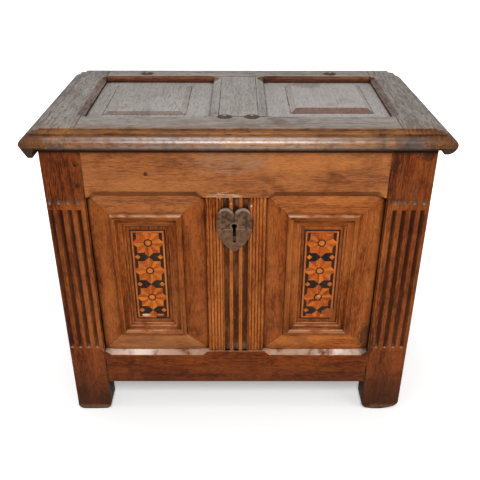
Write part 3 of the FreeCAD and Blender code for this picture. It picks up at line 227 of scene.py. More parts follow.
class Finish:
    """A finish in the making: its shader, the coordinates on the object and the layers of its colour."""

    BUMP_DISTANCE = 0.0008

    def __init__(self, name, gloss):
        self.material = bpy.data.materials.new(name)
        self.material.use_nodes = True
        self.tree = self.material.node_tree
        self.shader = self.tree.nodes["Principled BSDF"]
        self.shader.inputs["Specular IOR Level"].default_value = gloss
        self.place = add_node(self.tree, "ShaderNodeTexCoord").outputs["Object"]
        self.x, self.y, self.z = add_node(self.tree, "ShaderNodeSeparateXYZ", {0: self.place}).outputs

    def feed(self, socket, value):
        """Links a value to an input of the shader."""
        self.tree.links.new(value, self.shader.inputs[socket])

    def bump(self, strength, height):
        """Fine relief of the surface, from a height."""
        node = add_node(self.tree, "ShaderNodeBump", {
            "Strength": strength, "Distance": self.BUMP_DISTANCE, "Height": height,
        })
        self.feed("Normal", node.outputs[0])

    def coat(self, weight, rough, ior):
        """Polish over the finish, by a mask."""
        self.feed("Coat Weight", weight)
        self.shader.inputs["Coat Roughness"].default_value = rough
        self.shader.inputs["Coat IOR"].default_value = ior

    def attribute(self, name, output="Fac"):
        """Value that the mesh carries under a name."""
        return add_node(self.tree, "ShaderNodeAttribute", attribute_name=name).outputs[output]

    def group(self, shared, inputs):
        """Node of a shared group."""
        return add_node(self.tree, "ShaderNodeGroup", inputs, node_tree=shared)

    def grime_and_shade(self, reach):
        """Mask of the dirt and painted shade in corners, which reaches this far out of them."""
        return self.group(grime_and_shade_group, {"Place": self.place, "Reach": reach}).outputs["Grime and shade"]

    def rubbed(self):
        """Mask of the rubbed edges."""
        edge = self.attribute("wear")
        return self.group(wear_group, {"Place": self.place, "Edge": edge}).outputs["Wear"]

    def spread(self, value, low, high, to_low=0.0, to_high=1.0):
        """Maps a value smoothly from one range to another and clamps it."""
        return spread(self.tree, value, low, high, to_low, to_high)

    def cloud(self, scale, detail=3.0, roughness=0.55, distortion=0.0):
        """Noise over the whole object."""
        return noise(self.tree, self.place, scale, detail, roughness, distortion)

    def times(self, first, *others):
        """Product of masks."""
        for other in others:
            first = math_node(self.tree, "MULTIPLY", first, other)
        return first

    def mixed(self, factor, first, second):
        """Mix of two colours."""
        return mix_colour(self.tree, factor, first, second)

    def laid(self, colour, mask, strength, over):
        """Colour with another laid over it by a mask."""
        return self.mixed(self.times(mask, strength), colour, over)

    def away(self, value, at):
        """Distance of a coordinate from one value."""
        return math_node(self.tree, "ABSOLUTE", math_node(self.tree, "SUBTRACT", value, at))

    def line(self, value, at, width):
        """Mask of a thin line where a coordinate has one value."""
        return self.spread(self.away(value, at), width, 0.4 * width)

    def spot(self, centre, radius, ragged=0.5, stretch=(1.0, 1.0, 1.0)):
        """Mask of one damaged or stained spot with a ragged edge, longer on the axes that stretch names."""
        squeeze = [1 / longer for longer in stretch]
        offset = [-at * share for at, share in zip(centre, squeeze)]
        reach = length_of(self.tree, scaled(self.tree, self.place, squeeze, offset))
        edge = self.times(self.cloud(160.0, 4.0, 0.65), 2.0 * ragged * radius)
        outer = radius * (1.15 + ragged)
        inner = radius * (0.75 + ragged)
        return self.spread(math_node(self.tree, "ADD", reach, edge), outer, inner)


class OldOak(Finish):
    """A waxed oak finish: grain of some fineness, wear on the edges, dirt and painted shade in the corners.
    """

    def __init__(self, name, rough, gloss, reach, fine=1.0):
        super().__init__(name, gloss)
        grain = scaled(self.tree, self.attribute("grain", "Vector"), (fine, fine, fine))
        self.wood = self.group(grain_group, {"Grain": grain}).outputs
        self.dirt_and_shade = self.grime_and_shade(reach)
        self.rough = rough

    def boards(self, dark, middle, light, pore, pore_strength):
        """Colour of bare boards, between three tones of the wood and the colour of its pores."""
        colour = self.mixed(self.wood["Streaks"], dark, middle)
        colour = self.laid(colour, self.wood["Tone"], 0.55, light)
        return self.laid(colour, self.wood["Pores"], pore_strength, pore)

    def finish(self, colour, wear_colour, wear, grime_and_shade, bump):
        """Wear, dark creases, and dirt and painted shade in the corners over the colour, with roughness and
        bump from the grain.
        """
        colour = self.laid(colour, self.rubbed(), wear, wear_colour)
        thick = self.spread(self.cloud(55.0), 0.36, 0.6, 0.35, 0.85)
        # Creases and scratch lines painted dark: dirt, and the shade that falls in them
        colour = self.laid(colour, self.attribute("crease_dirt_and_shade"), thick, SOOT_AND_SHADE)
        # Dirt and painted shade where surfaces close in, from the occlusion mask
        colour = self.laid(colour, self.dirt_and_shade, grime_and_shade, SOOT_AND_SHADE)
        self.feed("Base Color", colour)
        rough = self.spread(self.wood["Streaks"], 0.0, 1.0, self.rough + 0.1, self.rough - 0.06)
        self.feed("Roughness", math_node(self.tree, "ADD", rough, self.times(self.dirt_and_shade, 0.25)))
        self.bump(bump, self.wood["Height"])
        return self.material


# Marks of age

# Chips and nail holes on the front of the case: place, radius and colour
case_marks = [
    ((HEART_X + 0.004, FRONT_Y, HEART_TOP - 0.002), 0.0042, rgb(16, 11, 9)),
    ((HEART_X - 0.006, FRONT_Y, HEART_TOP + 0.008), 0.002, rgb(190, 150, 106)),
    ((HEART_X + 0.032, FRONT_Y, HEART_TOP + 0.003), 0.0025, rgb(206, 176, 140)),
    ((-0.165, FRONT_Y, 0.562), 0.0042, rgb(66, 40, 26)),
]
# Stains on the right post and in the corner of the panel beside it: place, radius and stretch
case_stains = [
    ((RIGHT_JOINT - 0.006, FRONT_Y, 0.185), 0.022, (0.8, 4.0, 1.8)),
    ((RIGHT_JOINT + 0.008, FRONT_Y, 0.578), 0.011, (0.5, 4.0, 2.0)),
    ((RIGHT_JOINT + 0.062, FRONT_Y, 0.596), 0.015, (1.0, 4.0, 0.6)),
]
# Places on the top rail: a grey scratched patch that is also a painted sheen, and one rubbed pale: place,
# radius, stretch and colour
rubbed_and_sheen_places = [
    ((HEART_X - 0.01, FRONT_Y, CASE_TOP - 0.026), 0.034, (2.2, 4.0, 0.7), rgb(144, 116, 96)),
    ((HEART_X - 0.018, FRONT_Y, OPENING_HIGH + 0.004), 0.016, (1.9, 4.0, 0.5), rgb(220, 180, 138)),
]


def on_plaque(plaque, across, up):
    """Point on a plaque's face, by its shares of the width and height."""
    low, high = plaque
    return (low.x + across * (high.x - low.x), low.y, low.z + up * (high.z - low.z))


# Damage to the plaques: place, radius, stretch and colour
plaque_marks = [
    (on_plaque(LEFT_PLAQUE, 0.3, 0.045), 0.005, (1.6, 3.0, 0.7), rgb(208, 188, 160)),
    (on_plaque(LEFT_PLAQUE, 0.75, 0.02), 0.011, (1.2, 3.0, 0.3), rgb(36, 24, 16)),
    (on_plaque(RIGHT_PLAQUE, 0.97, 0.05), 0.013, (0.5, 3.0, 1.2), rgb(136, 68, 26)),
    (on_plaque(RIGHT_PLAQUE, 0.8, 0.07), 0.011, (1.0, 3.0, 1.0), rgb(150, 76, 28)),
    (on_plaque(RIGHT_PLAQUE, 0.53, 0.27), 0.0035, (1.0, 3.0, 1.0), rgb(190, 150, 116)),
    (on_plaque(RIGHT_PLAQUE, 0.35, 0.22), 0.006, (1.2, 3.0, 0.6), rgb(84, 44, 20)),
]
# Middles of the rivet heads on the lid
rivet_places = [(side * HINGE_RIVET_X, HINGE_RIVET_Y, LID_TOP) for side in (-1, 1)]
rivet_places += [(side * STAPLE_RIVET_X, STAPLE_RIVET_Y, LID_TOP) for side in (-1, 1)]


# Materials

def posts_bright_inside(oak):
    """Mask of the fluted front of the posts, brighter near the panels and less so towards the outer sides."""
    case_middle = (LEFT_JOINT + RIGHT_JOINT) / 2
    joint_reach = RIGHT_JOINT - case_middle
    return oak.times(
        oak.spread(oak.away(oak.x, case_middle), joint_reach, joint_reach + 0.002),
        oak.spread(oak.away(oak.z, (OPENING_LOW + OPENING_HIGH) / 2), 0.175, 0.165),
        oak.spread(oak.y, FRONT_Y + 0.004, FRONT_Y + 0.002),
        oak.spread(oak.x, RIGHT_JOINT + 0.02, RIGHT_JOINT + 0.055, 1.0, 0.3),
        oak.spread(oak.x, LEFT_JOINT - 0.045, LEFT_JOINT - 0.07, 1.0, 0.4),
    )


def fill_carving(oak, colour):
    """Dirt and painted shade in the flutes, broken up along them, with dust at their ends and in the dots
    over them.
    """
    tree = oak.tree
    recess = oak.attribute("recess")
    patchy = noise(tree, scaled(tree, oak.place, (90.0, 90.0, 22.0)), 1.0, 4.0, 0.65)
    flute_dirt_and_shade = oak.times(recess, oak.spread(patchy, 0.34, 0.56, 0.66, 1.0))
    # Dark in the hollows by their depth: dirt, and painted shade
    colour = oak.laid(colour, flute_dirt_and_shade, 0.88, rgb(52, 25, 9))
    deep = oak.spread(recess, 0.6, 0.9)
    colour = oak.laid(colour, oak.times(deep, oak.spread(patchy, 0.52, 0.4)), 0.14, rgb(116, 92, 62))
    ends = math_node(
        tree, "MAXIMUM",
        oak.spread(oak.z, OPENING_LOW + 0.022, OPENING_LOW + 0.012),
        oak.spread(oak.z, OPENING_HIGH - 0.022, OPENING_HIGH - 0.012),
    )
    dusty = oak.times(deep, ends, oak.spread(oak.z, OPENING_HIGH + 0.004, OPENING_HIGH + 0.002))
    colour = oak.laid(colour, oak.times(dusty, oak.spread(patchy, 0.62, 0.42)), 0.55, rgb(122, 110, 94))
    return oak.laid(colour, oak.spread(recess, 1.2, 1.8), 0.85, rgb(108, 99, 84))


def make_case_oak():
    """Warm waxed oak of the case, darker on the pieces that more dirt has reached and towards the bottom."""
    oak = OldOak("case_oak", rough=0.44, gloss=0.1, reach=0.02, fine=1.4)
    # Boards, from dry and pale over bright to deep in tone
    bright = oak.boards(rgb(98, 39, 9), rgb(176, 90, 29), rgb(213, 128, 60), rgb(56, 23, 8), 0.5)
    deep = oak.boards(rgb(56, 22, 6), rgb(116, 50, 12), rgb(144, 68, 22), rgb(32, 13, 5), 0.55)
    depth = oak.attribute("depth")
    tone = oak.times(depth, oak.spread(posts_bright_inside(oak), 0.0, 1.0, 1.0, 0.65))
    colour = oak.mixed(tone, bright, deep)
    # Pale below a depth of 0; on the level boards of the panels this is partly painted light
    colour = oak.laid(colour, oak.spread(depth, 0.0, -0.4), 0.35, rgb(152, 116, 80))
    # Rubbed places with a painted sheen, broad stains, smaller blotches, and darker towards the bottom
    streaks = oak.spread(oak.wood["Streaks"], 0.4, 0.8)
    # The grey patch is scratches and a painted sheen in the middle of the rail
    for place, radius, stretch, mark in rubbed_and_sheen_places:
        colour = oak.laid(colour, oak.times(oak.spot(place, radius, 1.0, stretch), streaks), 0.6, mark)
    stains = oak.spread(oak.cloud(12.0, 6.0, 0.65, 0.4), 0.5, 0.68)
    colour = oak.laid(colour, stains, 0.45, rgb(80, 33, 11))
    blotches = oak.spread(oak.cloud(38.0, 5.0, 0.65, 0.3), 0.5, 0.66)
    colour = oak.laid(colour, oak.times(tone, blotches), 0.55, rgb(62, 27, 12))
    darker_low = oak.times(oak.spread(oak.z, 0.15, 0.03), oak.spread(oak.x, -0.1, 0.1, 0.68, 0.75))
    colour = oak.mixed(darker_low, colour, rgb(54, 31, 17))
    # Dust and painted sheen on the ledges, the palest at the foot of the panels, painted shade on the
    # undersides, and scuffed soles
    facing = oak.attribute("ledge")
    unworn = oak.spread(oak.attribute("wear"), 0.0, 1.0, 1.0, 0.0)
    ledge = oak.times(oak.spread(facing, 0.0, 1.0), unworn)
    patches = oak.spread(oak.cloud(35.0, 4.0), 0.3, 0.55)
    pale = oak.times(ledge, patches)
    low = oak.spread(oak.z, OPENING_LOW + 0.008, OPENING_LOW + 0.004)
    # Dust and a painted sheen on the faces that look up
    colour = oak.laid(colour, pale, 0.55, rgb(212, 162, 118))
    colour = oak.laid(colour, oak.times(pale, low), 0.4, rgb(190, 160, 142))
    # Painted shade on the faces that look down
    colour = oak.laid(colour, oak.spread(facing, 0.0, -1.0), 0.6, rgb(56, 27, 12))
    scuffs = oak.times(oak.spread(oak.z, 0.016, 0.004), patches)
    colour = oak.laid(colour, scuffs, 0.7, rgb(146, 112, 80))
    # Soot in the joints beside the posts, and a painted shadow under the lid
    for joint in (LEFT_JOINT, RIGHT_JOINT):
        colour = oak.laid(colour, oak.line(oak.x, joint, 0.0022), 0.8, SOOT_AND_SHADE)
    # Painted shadow on the case just below the lid's overhang
    shadow_under_lid = oak.spread(oak.z, CASE_TOP - 0.0105, CASE_TOP - 0.0085)
    outer_face = oak.spread(oak.y, FRONT_Y + 0.002, FRONT_Y + 0.001)
    colour = oak.laid(colour, oak.times(shadow_under_lid, outer_face), 0.9, SOOT_AND_SHADE)
    # Single stains and marks, and the carving
    for place, radius, stretch in case_stains:
        colour = oak.laid(colour, oak.spot(place, radius, 1.0, stretch), 0.65, rgb(50, 29, 18))
    for place, radius, mark in case_marks:
        colour = oak.laid(colour, oak.spot(place, radius, 0.2, (1.0, 5.0, 1.0)), 0.9, mark)
    colour = fill_carving(oak, colour)
    oak.dirt_and_shade = oak.times(oak.dirt_and_shade, oak.spread(ledge, 0.0, 1.0, 1.0, 0.35))
    oak.coat(oak.times(pale, 0.6), rough=0.3, ior=1.7)
    return oak.finish(colour, wear_colour=rgb(190, 110, 48), wear=0.5, grime_and_shade=0.9, bump=0.45)


def make_lid_oak():
    """Lid oak, bleached grey on top, and brown and hand-polished on its moulded front edge."""
    oak = OldOak("lid_oak", rough=0.5, gloss=0.15, reach=0.02, fine=0.8)
    # Boards: grey where they are bleached, brown below and on the moulding
    pale = oak.boards(rgb(141, 136, 132), rgb(152, 147, 143), rgb(160, 156, 153), rgb(98, 86, 78), 0.35)
    dull = oak.boards(rgb(66, 54, 45), rgb(126, 116, 108), rgb(141, 134, 127), rgb(26, 19, 14), 1.0)
    grey = oak.mixed(oak.attribute("depth"), pale, dull)
    edge_brown = oak.boards(rgb(70, 35, 10), rgb(140, 83, 29), rgb(178, 118, 54), rgb(34, 17, 8), 0.75)
    deep_brown = oak.boards(rgb(46, 21, 7), rgb(94, 45, 16), rgb(116, 62, 25), rgb(28, 15, 8), 0.7)
    front = oak.spread(oak.y, LID_FLAT_Y + 0.004, LID_FLAT_Y)
    brown = oak.mixed(front, deep_brown, edge_brown)
    bleached = oak.attribute("ledge")
    colour = oak.mixed(bleached, brown, grey)
    # Stains, brown streaks near the front and dark handled patches on the moulding
    stains = oak.spread(oak.cloud(11.0, 5.0, 0.6, 0.3), 0.54, 0.7)
    colour = oak.laid(colour, stains, 0.45, rgb(88, 64, 48))
    near_front = oak.spread(oak.y, LID_FLAT_Y + 0.06, LID_FLAT_Y + 0.005)
    streaky = oak.spread(oak.wood["Streaks"], 0.8, 0.2, 0.3, 1.0)
    colour = oak.laid(colour, oak.times(near_front, bleached, streaky), 0.45, rgb(112, 80, 54))
    handled = oak.spread(oak.cloud(22.0, 6.0, 0.7, 0.5), 0.48, 0.64)
    colour = oak.laid(colour, oak.times(front, handled), 0.65, rgb(56, 30, 14))
    flats = oak.spread(bleached, 0.05, 0.1)
    colour = oak.laid(colour, oak.times(front, flats), 0.45, rgb(84, 48, 24))
    # Stains around the rivets, a dark spot at the right joint and darker ends
    for place in rivet_places:
        colour = oak.laid(colour, oak.spot(place, 0.0125, 0.5, (1.15, 1.0, 1.0)), 0.9, rgb(46, 33, 25))
    corner = (LID_JOINT + 0.014, LID_FLAT_Y - 0.028, LID_TOP - 0.02)
    colour = oak.laid(colour, oak.spot(corner, 0.017, 1.2, (0.8, 1.0, 1.0)), 0.75, rgb(54, 45, 40))
    ends = oak.spread(oak.away(oak.x, 0.0), LID_JOINT + 0.03, LID_JOINT + 0.075)
    colour = oak.laid(colour, oak.times(front, ends), 0.6, rgb(62, 36, 19))
    # The round nose: painted shade beneath, and a polish that is brightest near the middle
    nose = oak.spread(oak.y, LID_FLAT_Y - 0.0175, LID_FLAT_Y - 0.0205)
    shade_under_nose = oak.spread(oak.z, LID_TOP - 0.0245, LID_TOP - 0.0262)
    # Painted shade on the underside of the nose
    colour = oak.laid(colour, oak.times(nose, shade_under_nose), 0.8, SOOT_AND_SHADE)
    broken = oak.spread(oak.cloud(70.0, 4.0, 0.65), 0.36, 0.56, 0.5, 1.0)
    lifted = oak.spread(oak.away(oak.x, -0.02), 0.1, 0.3, 1.0, 0.4)
    end_share = oak.spread(ends, 0.0, 0.6, 1.0, 0.15)
    oak.coat(oak.times(nose, broken, lifted, end_share), rough=0.4, ior=2.2)
    return oak.finish(colour, wear_colour=rgb(150, 112, 80), wear=0.35, grime_and_shade=0.9, bump=0.6)


def make_veneer(name, dark, middle, light):
    """Thin coloured veneer, with the damage that the plaques have."""
    oak = OldOak(name, rough=0.42, gloss=0.12, reach=0.012)
    colour = oak.boards(dark, middle, light, dark, 0.6)
    for place, radius, stretch, mark in plaque_marks:
        colour = oak.laid(colour, oak.spot(place, radius, 0.8, stretch), 0.9, mark)
    return oak.finish(colour, wear_colour=light, wear=0.0, grime_and_shade=0.5, bump=0.2)


def heart_marks(iron, colour):
    """Marks on the heart: painted highlights on the upper rims, a seam, a scribed line and the keyhole's worn
    lip.
    """
    tree = iron.tree
    lobe_x = 0.0168
    lobe_z = HEART_TOP - 0.0165
    across = math_node(tree, "SUBTRACT", iron.away(iron.x, HEART_X), lobe_x)
    along = math_node(tree, "SUBTRACT", iron.z, lobe_z)
    radius = length_of(tree, add_node(tree, "ShaderNodeCombineXYZ", {"X": across, "Y": along}).outputs[0])
    ring = iron.times(iron.spread(radius, 0.0095, 0.0125), iron.spread(radius, 0.0165, 0.0145))
    rim_highlight = iron.times(ring, iron.spread(along, 0.002, 0.01))
    # Painted highlight on the upper rims of the lobes
    colour = iron.laid(colour, rim_highlight, 0.45, rgb(180, 164, 152))
    above = iron.spread(iron.z, KEYHOLE_Z, KEYHOLE_Z + 0.008)
    seam = iron.times(iron.line(iron.x, HEART_X, 0.0014), above)
    colour = iron.laid(colour, seam, 0.8, SOOT_AND_SHADE)
    below = iron.spread(iron.z, KEYHOLE_Z - 0.006, KEYHOLE_Z - 0.009)
    colour = iron.laid(colour, below, 0.3, rgb(128, 92, 64))
    colour = iron.laid(colour, iron.line(iron.z, KEYHOLE_Z - 0.007, 0.0012), 0.6, rgb(150, 118, 92))
    lip = iron.spot((HEART_X, FRONT_Y, KEYHOLE_Z), 0.008, 0.1, (1.0, 9.0, 1.0))
    return iron.laid(colour, lip, 0.5, rgb(164, 128, 96))


def rubbed_and_highlit_heads(iron, colour):
    """Rivet heads, rubbed pale at their tops, with a painted highlight there."""
    for place in rivet_places:
        colour = iron.laid(colour, iron.spot(place, 0.0038, 0.5, (1.0, 1.0, 3.0)), 0.6, rgb(176, 158, 144))
    return colour


def make_iron(name, dark, light, marks=None):
    """Hand-worked iron with brown patches, pits, rubbed edges and perhaps marks of its own."""
    iron = Finish(name, 0.4)
    patches = iron.cloud(110.0, 6.0, 0.7)
    colour = iron.mixed(iron.spread(patches, 0.38, 0.62), dark, light)
    if marks:
        colour = marks(iron, colour)
    colour = iron.laid(colour, iron.rubbed(), 0.3, rgb(160, 136, 114))
    # Dirt and painted shade in the corners of the iron
    colour = iron.laid(colour, iron.grime_and_shade(0.006), 0.7, SOOT_AND_SHADE)
    iron.feed("Base Color", colour)
    iron.feed("Roughness", iron.spread(patches, 0.3, 0.7, 0.42, 0.65))
    iron.shader.inputs["Metallic"].default_value = 0.4
    iron.bump(0.6, iron.cloud(260.0, 4.0, 0.6))
    return iron.material


case_oak = make_case_oak()
lid_oak = make_lid_oak()
inlays = {
    "inlay_light": make_veneer("lit_veneer", rgb(152, 64, 14), rgb(198, 97, 24), rgb(226, 136, 48)),
    "inlay_shaded": make_veneer("shaded_veneer", rgb(118, 48, 12), rgb(176, 78, 20), rgb(196, 97, 30)),
    "inlay_dark": make_veneer("dark_veneer", rgb(24, 16, 11), rgb(44, 31, 22), rgb(66, 46, 31)),
}
dark_iron = make_iron("dark_iron", *IRON_TONES)
heart_iron = make_iron("heart_iron", rgb(62, 41, 26), rgb(120, 85, 58), heart_marks)
rivet_iron = make_iron("rivet_iron", *IRON_TONES, rubbed_and_highlit_heads)


# What age has done to the shape of each piece, and where it holds dirt and painted shade

def clamped(value):
    """Value held between 0 and 1."""
    return min(1.0, max(0.0, value))


def sunk(co, front, deepest):
    """How deep a point lies in the carving of the front: 0 on the face, 1 at the deepest."""
    inside = OPENING_LOW - 0.001 < co.z < OPENING_HIGH + 0.001 and co.y < front + CARVING_LIMIT
    return clamped((co.y - front) / deepest) if inside else 0.0


def post_carving(co):
    """Flutes hold dirt and painted shade, and the dots over them are filled with dust, which a value above 1
    marks.
    """
    beside_panel = min(abs(co.x - LEFT_JOINT), abs(co.x - RIGHT_JOINT)) < POST_MARGIN
    dot = co.z > FLUTE_TOP + 0.002 and not beside_panel
    return 4.0 * sunk(co, FRONT_Y, DOT_DEPTH) if dot else sunk(co, FRONT_Y, FLUTE_DEPTH) ** 1.5


def muntin_carving(co):
    """The flutes down the middle of the muntin hold more dirt and painted shade than the beads beside them.
    """
    share = 1.0 if abs(co.x - MUNTIN_X) < MUNTIN_FLUTES_REACH else 0.15
    return share * sunk(co, FRONT_Y + MUNTIN_SETBACK, MUNTIN_FLUTE_DEPTH)


def peg_dirt(co):
    """Pegs are dark all over, but not dusty."""
    return 1.1


def upward(face):
    """How far a face looks up or down: 0 on a steep slope, 1 on the flat and -1 underneath."""
    return math.copysign(clamped((abs(face.normal.z) - 0.3) / 0.4), face.normal.z)


def bleached_top(face):
    """Bleaching of the lid's faces that look up: less on slopes, and little on the moulded front edge."""
    share = clamped((face.normal.z - 0.3) / 0.5)
    middle = face.calc_center_median()
    if middle.y < LID_FLAT_Y:
        return 0.1 * share
    facing = clamped((-face.normal.y - 0.15) / 0.2)
    sideways = clamped((abs(face.normal.x) - 0.1) / 0.2) if abs(middle.x) > LID_MUNTIN_REACH else 0.0
    browned = 0.12 if abs(middle.x) < LID_JOINT - 0.02 else 0.28
    if middle.y > LID_BACK_Y:
        shaded = 0.95
    elif middle.x < 0:
        shaded = 0.55
    else:
        shaded = 0.75
    return share * (1.0 - shaded * facing) * (1.0 - browned * sideways)


slots = {part["node"]: part["material_slot"] for part in frame["record"]["subparts"]}
body_of = {node: body for body, nodes in frame["record"]["behaviour"]["bodies"].items() for node in nodes}

# How deep a tone the dirt of ages has given each piece: 1 dark, 0 bright, and below 0 dry and pale
tone_depths = {
    "post_front_left": 0.85, "post_front_right": 0.85, "post_back_left": 0.8, "post_back_right": 0.8,
    "rail_front_top": -0.2, "rail_front_bottom": 0.8, "muntin_front": 0.1,
    "bevel_boards_left": 0.6, "bevel_boards_right": 0.4,
    "panel_moulding_left": 0.4, "panel_moulding_right": 0.4,
    "lid_panel_left": 0.3, "lid_panel_right": 0.05, "lid_muntin": 0.3, "lid_rail_front": 0.55,
    "lid_rail_back": 0.6, "lid_stile_left": 0.7, "lid_stile_right": 0.65,
}
# The same for boards that lie level where a piece has several; their paler tone is partly painted light, for
# the light and glare these boards catch
lit_level_depths = {"bevel_boards_left": -0.25, "bevel_boards_right": -0.15}
USUAL_DEPTH = 0.6

# Width of the worn edges, and the length below which an edge is left as it is
OAK_WEAR = 0.0013
OAK_SHORTEST = 0.03
HEART_WEAR = 0.0007
HEART_SHORTEST = 0.001

# Width of the dark slopes of dirt and painted shade in the inner corners of each moulded or fielded piece
crease_widths = {
    "panel_moulding_left": 0.001, "panel_moulding_right": 0.001, "lid_panel_left": 0.001,
    "lid_panel_right": 0.001, "lid_rail_front": 0.0008, "panel_left": 0.001, "panel_right": 0.001,
}
# Lines that a scratch tool cut along the lid's middle board, by their places across it
scratches = {"lid_muntin": (-0.036, 0.036)}
SCRATCH_WIDTH = 0.0015

# Feet with a sole that is worn round, and the share of its width at which it still stands on the floor
sole_rises = {"post_front_right": 0.012, "post_front_left": 0.002}
SOLE_HEIGHT = 0.04
SOLE_LOWEST = 0.42

carvings = {
    "post_front_left": post_carving, "post_front_right": post_carving, "muntin_front": muntin_carving,
    "joint_pegs": peg_dirt,
}


# Worn copies of the CAD pieces

def islands(bm):
    """Groups of joined faces, one for each separate piece of wood."""
    seen = set()
    groups = []
    for start in bm.faces:
        if start in seen:
            continue
        seen.add(start)
        group = []
        waiting = [start]
        while waiting:
            face = waiting.pop()
            group.append(face)
            for edge in face.edges:
                for other in edge.link_faces:
                    if other not in seen:
                        seen.add(other)
                        waiting.append(other)
        groups.append(group)
    return groups


def limits(group):
    """Lowest and highest place of a board on each axis."""
    corners = [vert.co for face in group for vert in face.verts]
    return [(min(co[axis] for co in corners), max(co[axis] for co in corners)) for axis in range(3)]


def box_grain(group):
    """Axes of a board from longest to shortest."""
    sizes = [high - low for low, high in limits(group)]
    return sorted(range(3), key=lambda axis: -sizes[axis])


def middle_of(group):
    """Middle of a board's box, to a tenth of a millimetre."""
    return [round((low + high) / 2, 4) for low, high in limits(group)]


def rub_edges(bm, width, shortest, dusty):
    """Rounds the outer edges and marks them as worn, but not where they look up and lie dusty."""
    sharp = [
        side for side in bm.edges
        if side.is_convex and side.calc_face_angle(0) > math.radians(35) and side.calc_length() > shortest
    ]
    made = bmesh.ops.bevel(
        bm, geom=sharp, offset=width, offset_type="OFFSET", segments=2, profile=0.5, affect="EDGES",
        clamp_overlap=False, material=-1,
    )
    bm.normal_update()
    wear = bm.faces.layers.float["wear"]
    for face in made["faces"]:
        face[wear] = 0.0 if dusty and face.normal.z > 0.35 else 1.0


def fill_creases(bm, width, shortest):
    """Fills the inner corners with narrow slopes, painted dark as dirt and shade."""
    inner = [
        side for side in bm.edges
        if side.is_manifold and not side.is_convex and side.calc_face_angle(0) > math.radians(12)
        and side.calc_length() > shortest
    ]
    made = bmesh.ops.bevel(
        bm, geom=inner, offset=width, offset_type="OFFSET", segments=1, profile=0.5, affect="EDGES",
        clamp_overlap=True, material=-1,
    )
    crease_dirt_and_shade = bm.faces.layers.float["crease_dirt_and_shade"]
    for face in made["faces"]:
        face[crease_dirt_and_shade] = 1.0


def scratch_lines(bm, places):
    """Cuts thin lines along the top of a lid board, at these places across it, and marks them as creases,
    painted dark as dirt and shade.
    """
    crease_dirt_and_shade = bm.faces.layers.float["crease_dirt_and_shade"]
    for at in places:
        for x in (at - SCRATCH_WIDTH / 2, at, at + SCRATCH_WIDTH / 2):
            geom = bm.verts[:] + bm.edges[:] + bm.faces[:]
            bmesh.ops.bisect_plane(bm, geom=geom, dist=0.00001, plane_co=(x, 0, 0), plane_no=(1, 0, 0))
        for vert in bm.verts:
            if abs(vert.co.x - at) < 0.00002 and vert.co.z > LID_TOP - 0.0001:
                vert.co.z -= SCRATCH_WIDTH / 2
        for face in bm.faces:
            middle = face.calc_center_median()
            if abs(middle.x - at) < SCRATCH_WIDTH / 2 and middle.z > LID_TOP - SCRATCH_WIDTH:
                face[crease_dirt_and_shade] = 1.0


def wear_sole(bm, rise):
    """Wears the sole of a foot round, so that its sides stand up to this much off the floor."""
    sole = [vert.co.x for vert in bm.verts if vert.co.z < SOLE_HEIGHT]
    lowest = min(sole) + SOLE_LOWEST * (max(sole) - min(sole))
    half = max(sole) - lowest
    low_edges = [side for side in bm.edges if max(vert.co.z for vert in side.verts) < 0.002]
    long_edges = [side for side in low_edges if abs(side.verts[0].co.x - side.verts[1].co.x) > 0.02]
    bmesh.ops.subdivide_edges(bm, edges=long_edges, cuts=7, use_grid_fill=True)
    for vert in bm.verts:
        if vert.co.z < SOLE_HEIGHT:
            vert.co.z += rise * ((vert.co.x - lowest) / half) ** 2 * (1 - vert.co.z / SOLE_HEIGHT)


def mark_boards(bm, boards, depth, lit_level_depth, ledge_of):
    """Gives each board its stretch of grain and its tone, painted lighter on level boards, and each face how
    far it looks up, for the dust, painted sheen and painted shade of the case and the bleaching of the lid.
    """
    deepness = bm.faces.layers.float["depth"]
    ledge = bm.faces.layers.float["ledge"]
    grain = bm.loops.layers.float_vector["grain"]
    for group in boards:
        order = box_grain(group)
        shift = Vector([chance.uniform(-5, 5) for _ in range(3)])
        tone = lit_level_depth if order[0] == 0 else depth
        board_depth = min(1.0, tone + chance.uniform(-0.1, 0.1))
        for face in group:
            face[deepness] = board_depth
            face[ledge] = ledge_of(face)
            for loop in face.loops:
                co = loop.vert.co
                loop[grain] = Vector([co[axis] for axis in order]) + shift


def worn_copy(node, body, material, edge, shortest, depth=0.0, recess=None, ledge_of=upward):
    """Copy of a CAD piece, with worn outer edges and dirt and painted shade in its creases, which stands for
    the piece.
    """
    source = frame["nodes"][node]
    mesh = bpy.data.meshes.new("worn_" + node)
    bm = bmesh.new()
    bm.from_mesh(source.data)
    bmesh.ops.remove_doubles(bm, verts=bm.verts, dist=0.00002)
    bmesh.ops.dissolve_limit(bm, angle_limit=math.radians(0.5), verts=bm.verts, edges=bm.edges)
    for layer in ("wear", "depth", "ledge", "crease_dirt_and_shade"):
        bm.faces.layers.float.new(layer)
    bm.loops.layers.float_vector.new("grain")
    hollow = bm.verts.layers.float.new("recess")
    if edge > 0:
        rub_edges(bm, edge, shortest, node.startswith("panel_moulding"))
    if node in crease_widths:
        fill_creases(bm, crease_widths[node], shortest)
    scratch_lines(bm, scratches.get(node, ()))
    if node in sole_rises:
        wear_sole(bm, sole_rises[node])
    bm.normal_update()
    boards = islands(bm)
    if node in crease_widths:
        # The bevel of the creases leaves faces in another order in each run
        boards.sort(key=middle_of)
    mark_boards(bm, boards, depth, lit_level_depths.get(node, depth), ledge_of)
    if recess:
        for vert in bm.verts:
            vert[hollow] = recess(vert.co)
    bm.to_mesh(mesh)
    bm.free()
    mesh.materials.append(material)
    for polygon in mesh.polygons:
        polygon.use_smooth = True
    mesh.set_sharp_from_angle(angle=math.radians(32))
    piece = bpy.data.objects.new("worn_" + node, mesh)
    bpy.context.scene.collection.objects.link(piece)
    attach(piece, body)
    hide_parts(node)


